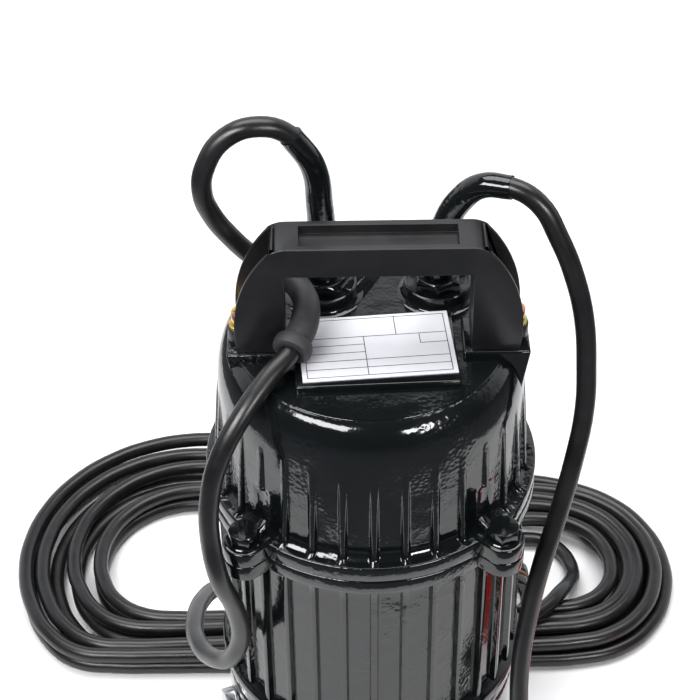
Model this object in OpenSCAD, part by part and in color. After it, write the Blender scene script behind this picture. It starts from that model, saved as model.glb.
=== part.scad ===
// Submersible sump pump with a cast case, a strap handle, a mains lead and a float switch.
// Origin: centre of the strainer's underside. +Z up the shaft, -Y the side that the rating plate faces.

/* [Case] */
// Radius of the joint flanges between the top cover and the motor body
flange_r = 76; // [74:1:92]
// Thickness of each joint flange
flange_t = 8; // [6:0.5:12]
// Height of the motor body, its joint flange included
motor_h = 117; // [110:1:160]
// Height of the top cover above its flange
cover_h = 73.5; // [66:0.5:95]
// Wall of the top cover
cover_wall = 4.5; // [3:0.5:6]
// How far the case panels stand inside the flanges
ledge_w = 6.5; // [4:0.5:9]
// Number of ribs round the case
rib_n = 32; // [16:4:48]
// Width of a rib
rib_w = 3.2; // [2:0.2:5]
// Height of a rib above its panel
rib_out = 2.6; // [1.5:0.1:4]
// Radius of the cover's flat top
plateau_r = 60.5; // [56:0.5:64]

/* [Joint bolts] */
// Radius of the circle that the joint bolts stand on
bolt_circle_r = 81; // [80:1:100]
// Radius of a bolt boss
boss_r = 9.5; // [8:0.5:12]
// Thread diameter of a joint bolt
bolt_d = 8; // [6:1:10]

/* [Handle] */
// Greatest width of the handle
handle_w = 123.4; // [110:1:135]
// Height of the handle above its feet
handle_h = 55; // [45:0.5:80]
// Depth of the handle, front to back
handle_d = 20.5; // [15.5:0.5:24]
// Radius of the handle's rounded sides
handle_side_r = 60; // [50:1:90]
// Width of the hand opening
window_w = 80; // [70:1:90]
// Height of the grip bar
grip_h = 14.2; // [10:0.2:20]
// Thickness of the front and rear plates
plate_t = 2; // [1.5:0.5:2.5]
// Thickness of the floor under a handle screw
foot_t = 7; // [5:0.5:12]

/* [Pump end] */
// Radius of the strainer
strainer_r = 70; // [68:1:80]
// Height of the strainer
strainer_h = 46; // [36:1:70]
// Width of an inlet slot
slot_w = 3.5; // [2:0.1:3.8]
// Number of inlet slots
slot_n = 48; // [24:4:60]
// Height of the volute casing
volute_h = 46; // [44:1:60]
// Bore of the discharge
discharge_d = 26; // [22:1:30]
// Height of the oil chamber
chamber_h = 32; // [30:1:50]

/* [Motor] */
// Radius of the stator core
stator_r = 61.9; // [58:0.1:61.9]
// Length of the stator and rotor cores
core_h = 60; // [40:1:66]
// Radius of the rotor core
rotor_r = 32; // [28:0.5:34]
// Air gap between the rotor and the stator
air_gap = 0.5; // [0.3:0.1:1]
// Diameter of the shaft between its bearings
shaft_d = 22; // [20:1:24]

/* [Leads] */
// Diameter of both rubber leads
cord_d = 9; // [8:0.5:10]
// Distance between the two glands
gland_gap = 51; // [44:1:54]
// How far the handle and the plate stand to the right of the shaft
top_shift = 3; // [0:0.5:4]

/* [Float] */
// Length of the float
float_l = 92; // [80:1:120]
// Width of the float
float_w = 58; // [50:1:70]
// Height of the float
float_h = 38; // [36:1:50]

/* [Hidden] */
$fn = 64;

// Levels, from the floor up
suction_t = 6;
bracket_t = 10;
z_suction = strainer_h;
z_volute = z_suction + suction_t;
z_chamber = z_volute + volute_h;
z_bracket = z_chamber + chamber_h;
z_motor = z_bracket + bracket_t;
z_joint = z_motor + motor_h;
z_ledge = z_joint + flange_t;
z_top = z_ledge + cover_h;
lug_h = 3;
z_foot = z_top + lug_h;

// Case
panel_r = flange_r - ledge_w;
cover_neck_r = panel_r - 1;
cover_neck_z = cover_h * 0.66;
bore_r = 62;
case_r = 72;
rib_step = 360 / rib_n;
bolt_angles = [45, 135, 225, 315];
joint_angles = [45, 135, 225, 315];
case_bolt_r = 66.5;
case_bolt_d = 6;
thread_gap = 0.1;
hole_gap = 0.4;

// Handle
handle_y = -9;
window_h = handle_h - grip_h;
side_z = 12.5;
web_t = 5;
core_half = handle_w / 2 - 16.5;
screw_x = handle_w / 2 - 3.2;
tab_r = 6.5;
handle_screw_d = 6;
lug_in = screw_x - 22;
lug_out = screw_x + 7;
lug_d = 24.6;
recess_w = 67;
recess_h = 4.3;
recess_rim = 3.2;

// Rating plate
pad_w = 70;
pad_d = 46;
pad_y = -18;
plate_w = 66.5;
plate_d = 41;
plate_t2 = 0.8;
plate_turn = 4.5;
plate_y = -16.6;

// Glands
gland_y = 24.5;
gland_mid_x = 4.8;
gland_boss_r = 15.2;
gland_boss_h = 7;
gland_rim_w = 1.3;
gland_rim_h = 2;
gland_nut_r = 11;
gland_nut_h = 6;
gland_xs = [gland_mid_x - gland_gap / 2, gland_mid_x + gland_gap / 2];
arm_turn = 62;
arm_w = 7;
z_gland = z_top + gland_boss_h - gland_rim_h;
z_nut = z_gland + gland_nut_h;

// Leads
sleeve_foot_r = cord_d / 2 + 2.3;
sleeve_tip_r = cord_d / 2 + 0.9;
sleeve_sides = 12;
lead_sides = 10;

// Running parts
bearing_low = [20, 40, 12];
bearing_top = [15, 35, 11];
z_low_bearing = z_bracket - 2;
z_core = z_motor + 32;
z_plate = z_joint - 7;
plate_rest_r = 66;
bearing_plate_t = 7;
z_top_bearing = z_joint - 3;
ring_end_h = 5;
cap_at = [34, -24];
earth_at = [6, 44];
seal_r = 16;
seal_bore = 8.6;
run_gap = 0.3;
z_shaft_end = z_volute + 4;
hub_r = 14;
impeller_r = 52;
impeller_h = 26;
vane_n = 6;
vane_t = 3.5;
z_impeller = z_volute + 6;
key_w = 4;

// Discharge
outlet_x = 52;
outlet_z = z_volute + 20;
outlet_y = 92;
outlet_r = discharge_d / 2 + 5;
outlet_flange_t = 8;
ear_x = 29;
ear_r = 10;
gasket_t = 2;
bend_r = 30;
tail_r = discharge_d / 2 + 3.5;
tail_h = 46;
z_tail = outlet_z + bend_r;

// Float
float_pivot = [180, 22, float_h / 2];
boot_l = 20;
boot_r = 8;
pivot_r = 5.6;
float_wall = 2;
float_corner = 20;
seam_gap = 0;
ball_r = 7;

// Routes of the leads, through the middle of each lead
mains_route = [
    [-20.7, 24.5, 349.5], [-20.7, 24.5, 366], [-21.5, 24, 387], [-24, 23, 409], [-33, 21, 426],
    [-46, 18, 433], [-60, 16, 429], [-69, 14, 416], [-71, 14, 403], [-68, 15, 391],
    [-60, 15, 378], [-50, 14.5, 367], [-38, 11.5, 360], [-29.5, 2, 357], [-28.5, -14, 354.5],
    [-34.5, -28.5, 350], [-45, -41, 344.5], [-56, -53, 334], [-65, -61, 319], [-70, -65, 300],
    [-71, -67.5, 277], [-68, -70, 254], [-63, -64, 230], [-61, -60, 206], [-66, -56, 186],
    [-76, -44, 171], [-85, -24, 160], [-88, 0, 149], [-86, 26, 135], [-79, 50, 118],
    [-67, 72, 96], [-50, 88, 70], [-28, 96, 46], [0, 98, 30], [28, 98, 24],
    [56, 98, 23.5], [84, 103, 23.3], [104, 116, 23], [115, 130, 21.5], [122, 144, 14],
    [126, 160, 6], [122, 177, 4.7], [111, 187.5, 4.6], [94, 190.5, 4.5]
];
tail_route = [
    [78, 192.2, 4.5], [60, 190.4, 4.6], [43, 186, 7], [28, 180.5, 12], [15, 176.5, 17],
    [2, 175, 20]
];
float_route = [
    [30.3, 24.5, 349.5], [30.3, 24.5, 360], [33, 23, 377], [39, 20.5, 392], [48, 17, 402],
    [60, 12.5, 404], [71, 8, 399], [80, 4, 384], [88, 1, 364], [93, -3, 344],
    [95, -8, 322], [95, -14, 300], [91, -22, 277], [85, -30, 252], [78, -38, 226],
    [73, -44, 198], [70, -50, 170], [70, -57, 142], [71, -66, 112], [75, -77, 82],
    [82, -90, 54], [94, -102, 28], [110, -108, 11], [128, -104, 5], [142, -90, 4.5],
    [149, -70, 4.5], [150, -48, 4.5], [148, -26, 5], [149, -6, 8], [157, 12, 13],
    [166.5, 20, 17], [173.6, 21.8, 18.9]
];
plug_at = [2, 175, 20];
plug_r = 19.5;
plug_l = 36;
plug_neck = 16;

// Coil on the floor behind the pump: each end is [x, y, radius of the innermost turn]
coil_left = [-104, 170, 50];
coil_right = [110, 160, 38];
coil_flat_w = 59;
coil_stack_w = 35;
coil_front_y = 84;
coil_h = 18;

// ---------- helpers ----------
function arc(cx, cy, r, a0, a1, n) =
    [for (i = [0:n]) let (a = a0 + (a1 - a0) * i / n) [cx + r * cos(a), cy + r * sin(a)]];
function unit(v) = v / norm(v);
function curve_at(a, b, c, d, t) =
    0.5 * (2 * b + (c - a) * t + (2 * a - 5 * b + 4 * c - d) * t * t
        + (3 * b - a - 3 * c + d) * t * t * t);
function tangents(p) =
    [for (i = [0:len(p) - 1]) unit(p[min(i + 1, len(p) - 1)] - p[max(i - 1, 0)])];
function across(n, t) = unit(n - (n * t) * t);
function sides_of(t, i, n) =
    i >= len(t) ? [] : let (u = across(n, t[i])) concat([u], sides_of(t, i + 1, u));
function rings(p, r, s) =
    let (t = tangents(p), u = sides_of(t, 0, [0.31, 0.87, 0.13]))
    [for (i = [0:len(p) - 1], j = [0:s - 1])
        let (a = 360 * j / s)
        p[i] + r[i] * (u[i] * cos(a) + cross(t[i], u[i]) * sin(a))];
function cut(p, n) = [for (i = [0:n - 1]) p[i]];
function reach(p, i) = i == 0 ? 0 : reach(p, i - 1) + norm(p[i] - p[i - 1]);

module sweep(p, r, s) {
    n = len(p);
    walls = [for (i = [0:n - 2], j = [0:s - 1])
        let (a = i * s + j, b = i * s + (j + 1) % s)
        each [[a, a + s, b], [b, a + s, b + s]]];
    ends = [[for (j = [0:s - 1]) j], [for (j = [s - 1:-1:0]) (n - 1) * s + j]];
    polyhedron(rings(p, r, s), concat(walls, ends), convexity = 10);
}

module lead(p) {
    sweep(p, [for (q = p) cord_d / 2], lead_sides);
}

module boot(p, r0, r1) {
    full = reach(p, len(p) - 1);
    sweep(p, [for (i = [0:len(p) - 1]) r0 + (r1 - r0) * reach(p, i) / full], sleeve_sides);
}

module at_bolts(r, angles = bolt_angles) {
    for (a = angles) rotate(a) translate([r, 0, 0]) children();
}

module tube(r_out, r_in, h) {
    difference() {
        cylinder(r = r_out, h = h);
        translate([0, 0, -1]) cylinder(r = r_in, h = h + 2);
    }
}

module slab(x0, x1, y0, y1, r, h) {
    linear_extrude(h) polygon(concat(
        arc(x1 - r, y1 - r, r, 0, 90, 6), arc(x0 + r, y1 - r, r, 90, 180, 6),
        arc(x0 + r, y0 + r, r, 180, 270, 6), arc(x1 - r, y0 + r, r, 270, 360, 6)));
}

module rib(r_in, r_foot, r_head, h) {
    rotate([90, 0, 0]) translate([0, 0, -rib_w / 2]) linear_extrude(rib_w)
        polygon([[r_in, 0], [r_foot, 0], [r_head, h], [r_in, h]]);
}

module hex_bolt(d, head_w, head_h, shank) {
    cylinder(d = head_w / cos(30), h = head_h, $fn = 6);
    translate([0, 0, -shank]) cylinder(d = d - 2 * thread_gap, h = shank + 1);
}

module socket_screw(d, shank) {
    difference() {
        cylinder(d = d * 1.6, h = d);
        translate([0, 0, d * 0.5]) cylinder(d = d * 0.95, h = d, $fn = 6);
    }
    translate([0, 0, -shank]) cylinder(d = d - 2 * thread_gap, h = shank + 1);
}

// ---------- pump end ----------
screw_ring_r = 56;
strainer_screw_d = 5;

module strainer() {
    color("#1b1c1e") difference() {
        union() {
            difference() {
                cylinder(r = strainer_r, h = strainer_h);
                translate([0, 0, 4]) cylinder(r = strainer_r - 3, h = strainer_h);
                for (i = [0:slot_n - 1]) rotate(i * 360 / slot_n)
                    translate([strainer_r - 6, -slot_w / 2, 9])
                        cube([12, slot_w, strainer_h - 18]);
            }
            at_bolts(screw_ring_r) cylinder(r = 6, h = strainer_h);
        }
        at_bolts(screw_ring_r) {
            translate([0, 0, -1]) cylinder(d = strainer_screw_d + hole_gap, h = strainer_h + 2);
            translate([0, 0, -1]) cylinder(d = strainer_screw_d * 2, h = 5);
        }
    }
}

module strainer_screws() {
    color("#b9bbbd") at_bolts(screw_ring_r) translate([0, 0, 4]) {
        translate([0, 0, -3]) cylinder(d = strainer_screw_d * 1.8, h = 3);
        cylinder(d = strainer_screw_d - 2 * thread_gap, h = strainer_h + 8);
    }
}

module suction_plate() {
    color("#202224") translate([0, 0, z_suction]) difference() {
        union() {
            cylinder(r = strainer_r, h = suction_t);
            cylinder(r = impeller_r - 2, h = suction_t + 3);
        }
        translate([0, 0, -1]) cylinder(r = 22, h = suction_t + 9);
        at_bolts(screw_ring_r) translate([0, 0, -1]) cylinder(d = strainer_screw_d + hole_gap, h = 20);
    }
}

function spiral(r0, grow, n) =
    [for (i = [0:n]) let (a = 360 * i / n, r = r0 + grow * i / n) [r * cos(a), r * sin(a)]];

module outlet_ears(r, t) {
    rotate([-90, 0, 0]) {
        cylinder(r = r + 4, h = t);
        for (s = [-1, 1]) translate([s * ear_x, 0, 0]) cylinder(r = ear_r, h = t);
        translate([-ear_x, -ear_r, 0]) cube([2 * ear_x, 2 * ear_r, t]);
    }
}

module volute_casing() {
    wall_r = impeller_r + 12;
    color("#202224") difference() {
        union() {
            translate([0, 0, z_volute]) cylinder(r = strainer_r, h = 7);
            translate([0, 0, z_volute]) linear_extrude(volute_h)
                polygon(spiral(wall_r, case_r - wall_r, 60));
            translate([0, 0, z_chamber - 6]) cylinder(r = case_r, h = 6);
            translate([outlet_x, 0, outlet_z]) rotate([-90, 0, 0])
                cylinder(r = outlet_r, h = outlet_y);
            translate([outlet_x, outlet_y - outlet_flange_t, outlet_z])
                outlet_ears(outlet_r, outlet_flange_t);
        }
        translate([0, 0, z_volute - 1]) cylinder(r = impeller_r + 1.5, h = volute_h - 7);
        translate([0, 0, z_volute + 7]) linear_extrude(volute_h - 15)
            polygon(spiral(wall_r - 5, case_r - wall_r, 60));
        translate([0, 0, z_volute]) cylinder(r = seal_r + 4, h = volute_h + 1);
        translate([outlet_x, 4, outlet_z]) rotate([-90, 0, 0])
            cylinder(d = discharge_d, h = outlet_y);
        for (s = [-1, 1]) translate([outlet_x + s * ear_x, outlet_y - 20, outlet_z])
            rotate([-90, 0, 0]) cylinder(d = bolt_d, h = 30);
        at_bolts(screw_ring_r) translate([0, 0, z_volute - 1])
            cylinder(d = strainer_screw_d, h = 12);
        at_bolts(case_bolt_r) translate([0, 0, z_chamber - 20])
            cylinder(d = case_bolt_d + hole_gap, h = 30);
        at_bolts(case_bolt_r) translate([0, 0, z_chamber - 20]) cylinder(d = 15, h = 14);
    }
}

module discharge_gasket() {
    color("#3a2f28") translate([outlet_x, outlet_y, outlet_z]) difference() {
        outlet_ears(outlet_r - 1, gasket_t);
        translate([0, -1, 0]) rotate([-90, 0, 0]) cylinder(d = discharge_d, h = 9);
        for (s = [-1, 1]) translate([s * ear_x, -1, 0]) rotate([-90, 0, 0])
            cylinder(d = bolt_d + hole_gap, h = 9);
    }
}

module hose_elbow() {
    y0 = outlet_y + gasket_t;
    straight = 10;
    color("#202224") translate([outlet_x, y0, outlet_z]) difference() {
        union() {
            outlet_ears(outlet_r, outlet_flange_t);
            rotate([-90, 0, 0]) cylinder(r = outlet_r - 1, h = straight);
            translate([0, straight, bend_r]) rotate([0, 90, 0]) rotate(0)
                rotate_extrude(angle = 90) translate([bend_r, 0]) circle(r = outlet_r - 1);
            translate([0, straight + bend_r, bend_r]) {
                cylinder(r = tail_r, h = tail_h);
                for (i = [0:2]) translate([0, 0, tail_h - 12 - i * 10])
                    cylinder(r1 = tail_r + 1.3, r2 = tail_r - 0.2, h = 8);
            }
        }
        translate([0, -1, 0]) rotate([-90, 0, 0]) cylinder(d = discharge_d, h = straight + 1);
        translate([0, straight, bend_r]) rotate([0, 90, 0])
            rotate_extrude(angle = 90) translate([bend_r, 0]) circle(d = discharge_d);
        translate([0, straight + bend_r, bend_r]) cylinder(d = discharge_d, h = tail_h + 1);
        for (s = [-1, 1]) translate([s * ear_x, -1, 0]) rotate([-90, 0, 0])
            cylinder(d = bolt_d + hole_gap, h = 12);
    }
}

module elbow_screws() {
    color("#b9bbbd") for (s = [-1, 1])
        translate([outlet_x + s * ear_x, outlet_y + gasket_t + outlet_flange_t, outlet_z])
            rotate([-90, 0, 0]) hex_bolt(bolt_d, 13, 5.3, 24);
}

module oil_chamber() {
    color("#202224") difference() {
        translate([0, 0, z_chamber]) cylinder(r = case_r, h = chamber_h);
        translate([0, 0, z_chamber + 6]) cylinder(r = 52, h = chamber_h);
        translate([0, 0, z_chamber - 1]) cylinder(r = seal_r, h = 10);
        at_bolts(case_bolt_r) translate([0, 0, z_chamber - 1])
            cylinder(d = case_bolt_d + hole_gap, h = chamber_h + 2);
        rotate(200) translate([40, 0, z_chamber + 18]) rotate([0, 90, 0]) cylinder(d = 10, h = 40);
    }
}

module oil_plug() {
    color("#b9bbbd") rotate(200) translate([case_r + 0.2, 0, z_chamber + 18]) rotate([0, 90, 0]) {
        translate([0, 0, -16]) cylinder(d = 10 - 2 * thread_gap, h = 17);
        cylinder(d = 15, h = 1.5);
        cylinder(d = 13 / cos(30), h = 6, $fn = 6);
    }
}

module bearing_bracket() {
    color("#202224") difference() {
        union() {
            translate([0, 0, z_bracket]) cylinder(r = case_r, h = bracket_t);
            translate([0, 0, z_low_bearing - 4]) cylinder(r = bearing_low[1] / 2 + 6, h = 20);
        }
        translate([0, 0, z_low_bearing]) cylinder(d = bearing_low[1], h = 40);
        translate([0, 0, z_low_bearing - 5]) cylinder(d = bearing_low[0] + 8, h = 10);
        at_bolts(case_bolt_r) translate([0, 0, z_bracket - 1])
            cylinder(d = case_bolt_d + hole_gap, h = bracket_t + 2);
    }
}

module case_bolts() {
    color("#b9bbbd") at_bolts(case_bolt_r) translate([0, 0, z_chamber - 6]) mirror([0, 0, 1])
        hex_bolt(case_bolt_d, 10, 4, 6 + chamber_h + bracket_t + 14);
}

// ---------- motor ----------
module motor_body() {
    color("#16191a") difference() {
        union() {
            translate([0, 0, z_motor]) cylinder(r = panel_r, h = motor_h);
            translate([0, 0, z_motor]) cylinder(r = case_r + 2, h = 7);
            translate([0, 0, z_joint - flange_t]) cylinder(r = flange_r, h = flange_t);
            for (i = [0:rib_n - 1]) rotate(i * rib_step) translate([0, 0, z_motor])
                rib(bore_r + 3, panel_r + rib_out, panel_r + rib_out, motor_h);
            at_bolts(bolt_circle_r, joint_angles) translate([0, 0, z_joint - flange_t])
                cylinder(r = boss_r, h = flange_t);
            for (a = joint_angles) rotate(a) translate([panel_r - 2, -boss_r, z_joint - flange_t])
                cube([bolt_circle_r - panel_r + 2, 2 * boss_r, flange_t]);
        }
        translate([0, 0, z_motor + 20]) cylinder(r = bore_r, h = motor_h);
        translate([0, 0, z_motor - 1]) cylinder(r = 57, h = 40);
        translate([0, 0, z_plate]) cylinder(r = plate_rest_r, h = 20);
        at_bolts(bolt_circle_r, joint_angles) translate([0, 0, z_joint - 30]) cylinder(d = bolt_d, h = 40);
        at_bolts(case_bolt_r - 4.5 + 4.5) translate([0, 0, z_motor - 1])
            cylinder(d = case_bolt_d, h = 16);
        translate([0, 0, z_joint]) rotate_extrude() translate([plate_rest_r + 3.5, 0])
            square([3.2, 5], center = true);
    }
}

module cover_seal() {
    color("#121212") translate([0, 0, z_joint - 1.3]) rotate_extrude()
        translate([plate_rest_r + 3.5, 0]) circle(r = 1.2, $fn = 24);
}

module stator_core() {
    color("#6f6a63") translate([0, 0, z_core]) difference() {
        cylinder(r = stator_r, h = core_h);
        translate([0, 0, -1]) cylinder(r = rotor_r + air_gap, h = core_h + 2);
        for (i = [0:23]) rotate(i * 15) translate([rotor_r + 8, -2.2, -1])
            cube([12, 4.4, core_h + 2]);
    }
}

module winding() {
    rotate_extrude() translate([rotor_r + 7, 0]) polygon([
        [0, 0], [15, 0], [17, 3], [17, 9], [14, 12.5], [4, 12.5], [0, 9]]);
}

module upper_winding() {
    color("#a8552a") translate([0, 0, z_core + core_h]) winding();
}

module lower_winding() {
    color("#a8552a") translate([0, 0, z_core]) mirror([0, 0, 1]) winding();
}

module upper_bearing_plate() {
    color("#7b7f82") difference() {
        union() {
            translate([0, 0, z_plate]) cylinder(r = plate_rest_r - 0.1, h = bearing_plate_t);
            translate([0, 0, z_plate]) cylinder(r = bearing_top[1] / 2 + 5, h = bearing_plate_t + 9);
        }
        translate([0, 0, z_top_bearing]) cylinder(d = bearing_top[1], h = 40);
        translate([0, 0, z_plate - 1]) cylinder(d = bearing_top[0] + 8, h = 20);
        for (a = [20, 200]) rotate(a) translate([44, -8, z_plate - 1]) cube([14, 16, 20]);
        translate([earth_at[0], earth_at[1], z_plate - 1]) cylinder(d = 4, h = 20);
    }
}

module bearing_rings(size, outer) {
    ring_t = (size[1] - size[0]) / 2 * 0.32;
    groove_r = (size[1] + size[0]) / 4;
    difference() {
        if (outer) tube(size[1] / 2, size[1] / 2 - ring_t, size[2]);
        else tube(size[0] / 2 + ring_t, size[0] / 2, size[2]);
        translate([0, 0, size[2] / 2]) rotate_extrude() translate([groove_r, 0])
            circle(r = bearing_ball_r(size) + (outer ? 0.05 : run_gap));
    }
}

function bearing_ball_r(size) = (size[1] - size[0]) / 2 * 0.29;

module bearing_outer_rings() {
    color("#c9cbcc") {
        translate([0, 0, z_low_bearing]) bearing_rings(bearing_low, true);
        translate([0, 0, z_top_bearing]) bearing_rings(bearing_top, true);
    }
}

module bearing_inner_rings() {
    color("#c9cbcc") {
        translate([0, 0, z_low_bearing]) bearing_rings(bearing_low, false);
        translate([0, 0, z_top_bearing]) bearing_rings(bearing_top, false);
    }
}

module bearing_balls() {
    color("#dfe1e2") for (b = [[bearing_low, z_low_bearing], [bearing_top, z_top_bearing]])
        for (i = [0:7]) rotate(i * 45)
            translate([(b[0][0] + b[0][1]) / 4, 0, b[1] + b[0][2] / 2])
                sphere(r = bearing_ball_r(b[0]), $fn = 24);
}

module capacitor() {
    color("#d8d8d2") translate([cap_at[0], cap_at[1], z_plate + bearing_plate_t]) {
        cylinder(r = 17, h = 48);
        for (s = [-1, 1]) translate([s * 6 - 1, -3, 48]) cube([1, 6, 8]);
    }
}

module capacitor_clip() {
    color("#b9bbbd") translate([cap_at[0], cap_at[1], z_plate + bearing_plate_t]) difference() {
        union() {
            translate([0, 0, 14]) cylinder(r = 17 + 1.2, h = 10);
            rotate(-90) translate([17, -4, 0]) cube([1.2, 8, 24]);
            rotate(-90) translate([17, -4, 0]) cube([7, 8, 1.2]);
        }
        translate([0, 0, -1]) cylinder(r = 17, h = 40);
    }
}

module terminal_block() {
    color("#e8e6dc") translate([-46, -12, z_plate + bearing_plate_t]) difference() {
        cube([15, 34, 13]);
        for (i = [0:3]) translate([7.5, 5 + i * 8, 4]) cylinder(d = 4, h = 20);
    }
}

module thermal_cutout() {
    color("#2b2b2b") translate([-16, -38, z_plate + bearing_plate_t]) {
        cylinder(d = 18, h = 8);
        translate([-1, -8, 8]) cube([2, 16, 4]);
    }
}

module earth_screw() {
    color("#c8a24a") translate([earth_at[0], earth_at[1], z_plate + bearing_plate_t]) {
        cylinder(d = 9, h = 3);
        translate([0, 0, -5]) cylinder(d = 4, h = 5);
    }
}

module shaft() {
    color("#b4b7b9") difference() {
        union() {
            translate([0, 0, z_shaft_end - 8]) cylinder(d = 10, h = 14);
            translate([0, 0, z_impeller]) cylinder(d = 14, h = z_chamber - z_impeller);
            translate([0, 0, z_chamber - 8]) cylinder(d = 16, h = z_low_bearing - z_chamber + 8);
            translate([0, 0, z_low_bearing]) cylinder(d = bearing_low[0], h = 14);
            translate([0, 0, z_low_bearing + bearing_low[2]])
                cylinder(d = shaft_d, h = z_plate - 4 - z_low_bearing - bearing_low[2]);
            translate([0, 0, z_plate - 5])
                cylinder(d = bearing_top[0], h = z_top_bearing + bearing_top[2] + 7 - z_plate);
        }
        translate([5, -key_w / 2, z_impeller + 2]) cube([4, key_w, 16]);
    }
}

module rotor_core() {
    color("#77716a") translate([0, 0, z_core]) tube(rotor_r, shaft_d / 2, core_h);
}

module rotor_end_rings() {
    color("#c2c4c6") {
        translate([0, 0, z_core - ring_end_h]) tube(rotor_r - 1, rotor_r - 12, ring_end_h);
        translate([0, 0, z_core + core_h]) tube(rotor_r - 1, rotor_r - 12, ring_end_h);
    }
}

module seal_seat() {
    color("#d9d4c8") translate([0, 0, z_chamber]) difference() {
        union() {
            cylinder(r = seal_r, h = 7);
            translate([0, 0, 7]) cylinder(r = seal_r - 3, h = 2);
        }
        translate([0, 0, -1]) cylinder(r = seal_bore, h = 20);
    }
}

module seal_face() {
    color("#303234") translate([0, 0, z_chamber + 9 + run_gap]) {
        tube(seal_r - 3, 8, 4);
        translate([0, 0, 4]) tube(seal_r - 4, 8, 9);
    }
}

module vane(a) {
    rotate(a) for (i = [0:5]) {
        t0 = i / 6;
        t1 = (i + 1) / 6;
        r0 = hub_r - 2 + (impeller_r - hub_r + 1) * t0;
        r1 = hub_r - 2 + (impeller_r - hub_r + 1) * t1;
        p0 = r0 * [cos(-60 * t0), sin(-60 * t0)];
        p1 = r1 * [cos(-60 * t1), sin(-60 * t1)];
        n = unit([p0[1] - p1[1], p1[0] - p0[0]]) * vane_t / 2;
        linear_extrude(impeller_h - 10) polygon([p0 - n, p1 - n, p1 + n, p0 + n]);
        translate(p1) cylinder(d = vane_t, h = impeller_h - 10, $fn = 16);
    }
}

module impeller() {
    color("#8c7a4e") translate([0, 0, z_impeller]) difference() {
        union() {
            cylinder(r = hub_r, h = impeller_h);
            translate([0, 0, impeller_h - 12]) cylinder(r = impeller_r, h = 4);
            translate([0, 0, 4]) intersection() {
                cylinder(r = impeller_r, h = impeller_h - 14);
                for (i = [0:vane_n - 1]) vane(i * 360 / vane_n);
            }
        }
        translate([0, 0, -1]) cylinder(d = 14, h = impeller_h + 2);
        translate([5, -key_w / 2, 2]) cube([5, key_w, 16]);
    }
}

module impeller_key() {
    color("#b4b7b9") translate([5, -key_w / 2, z_impeller + 2]) cube([4, key_w, 16]);
}

module impeller_nut() {
    color("#b9bbbd") translate([0, 0, z_impeller - 8]) difference() {
        union() {
            cylinder(d = 17 / cos(30), h = 7, $fn = 6);
            translate([0, 0, 6.5]) cylinder(d = 22, h = 1.5);
        }
        translate([0, 0, -1]) cylinder(d = 10, h = 12);
    }
}

// ---------- top cover ----------
module cover_shell() {
    shoulder = [for (i = [0:8]) let (t = i / 8)
        (1 - t) * (1 - t) * [cover_neck_r, cover_neck_z]
        + 2 * t * (1 - t) * [cover_neck_r - 0.4, cover_h - 6]
        + t * t * [plateau_r, cover_h - 1.2]];
    rotate_extrude($fn = 96) polygon(concat(
        [[flange_r, -flange_t], [flange_r, 0], [panel_r, 0]], shoulder,
        [[plateau_r - 1.2, cover_h], [0, cover_h], [0, cover_h - cover_wall],
            [plateau_r - 7, cover_h - cover_wall], [cover_neck_r - cover_wall, cover_neck_z],
            [panel_r - cover_wall, 0], [plate_rest_r - 2, -flange_t]]));
}

module gland_boss(x) {
    translate([x, gland_y, z_top - 12]) cylinder(r = gland_boss_r, h = gland_boss_h + 12);
}

module handle_lug(s) {
    translate([top_shift, handle_y, z_foot]) mirror([s > 0 ? 0 : 1, 0, 0]) {
        translate([0, 0, -22]) slab(lug_in, lug_out, -lug_d / 2, lug_d / 2, 8, 22);
        hull() {
            translate([0, 0, -22]) slab(lug_out - 16, lug_out, -lug_d / 2, lug_d / 2, 8, 1);
            translate([0, 0, -50]) slab(lug_out - 14, lug_out - 6, -7, 7, 3, 1);
        }
    }
}

module top_cover() {
    color("#16191a") difference() {
        union() {
            translate([0, 0, z_ledge]) cover_shell();
            for (i = [0:rib_n - 1]) rotate(i * rib_step) translate([0, 0, z_ledge])
                rib(panel_r - 4, panel_r + rib_out, cover_neck_r + 0.3, cover_neck_z);
            at_bolts(bolt_circle_r, joint_angles) translate([0, 0, z_joint]) cylinder(r = boss_r, h = flange_t);
            for (a = joint_angles) rotate(a) translate([panel_r - 2, -boss_r, z_joint])
                cube([bolt_circle_r - panel_r + 2, 2 * boss_r, flange_t]);
            for (x = gland_xs) gland_boss(x);
            translate([gland_xs[0], gland_y, z_top - 2]) rotate(arm_turn)
                translate([0, 0.8 - gland_boss_r, 0]) cube([27, arm_w, gland_boss_h]);
            for (s = [-1, 1]) handle_lug(s);
            translate([top_shift - 2, pad_y, z_top - 2])
                slab(-pad_w / 2, pad_w / 2, -pad_d / 2, pad_d / 2, 2, lug_h + 2);
        }
        at_bolts(bolt_circle_r, joint_angles) translate([0, 0, z_joint - 1])
            cylinder(d = bolt_d + 1, h = flange_t + 2);
        at_bolts(bolt_circle_r, joint_angles) translate([0, 0, z_ledge]) cylinder(r = boss_r + 3.5, h = 24);
        for (x = gland_xs) translate([x, gland_y, 0]) {
            translate([0, 0, z_gland]) cylinder(r = gland_boss_r - gland_rim_w, h = 20);
            translate([0, 0, z_gland - 8]) cylinder(r = 9, h = 20);
            translate([0, 0, z_top - 30]) cylinder(r = 5.5, h = 40);
        }
        for (s = [-1, 1]) translate([top_shift + s * screw_x, handle_y, z_foot - 16])
            cylinder(d = handle_screw_d, h = 20);
    }
}

module cover_bolts() {
    color("#1a1d1e") at_bolts(bolt_circle_r, joint_angles) translate([0, 0, z_ledge + 1.6])
        hex_bolt(bolt_d, 13, 5.3, flange_t * 2 - 1);
}

module cover_washers() {
    color("#1a1d1e") at_bolts(bolt_circle_r, joint_angles) translate([0, 0, z_ledge]) tube(8, bolt_d / 2 + 0.2, 1.6);
}

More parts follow.
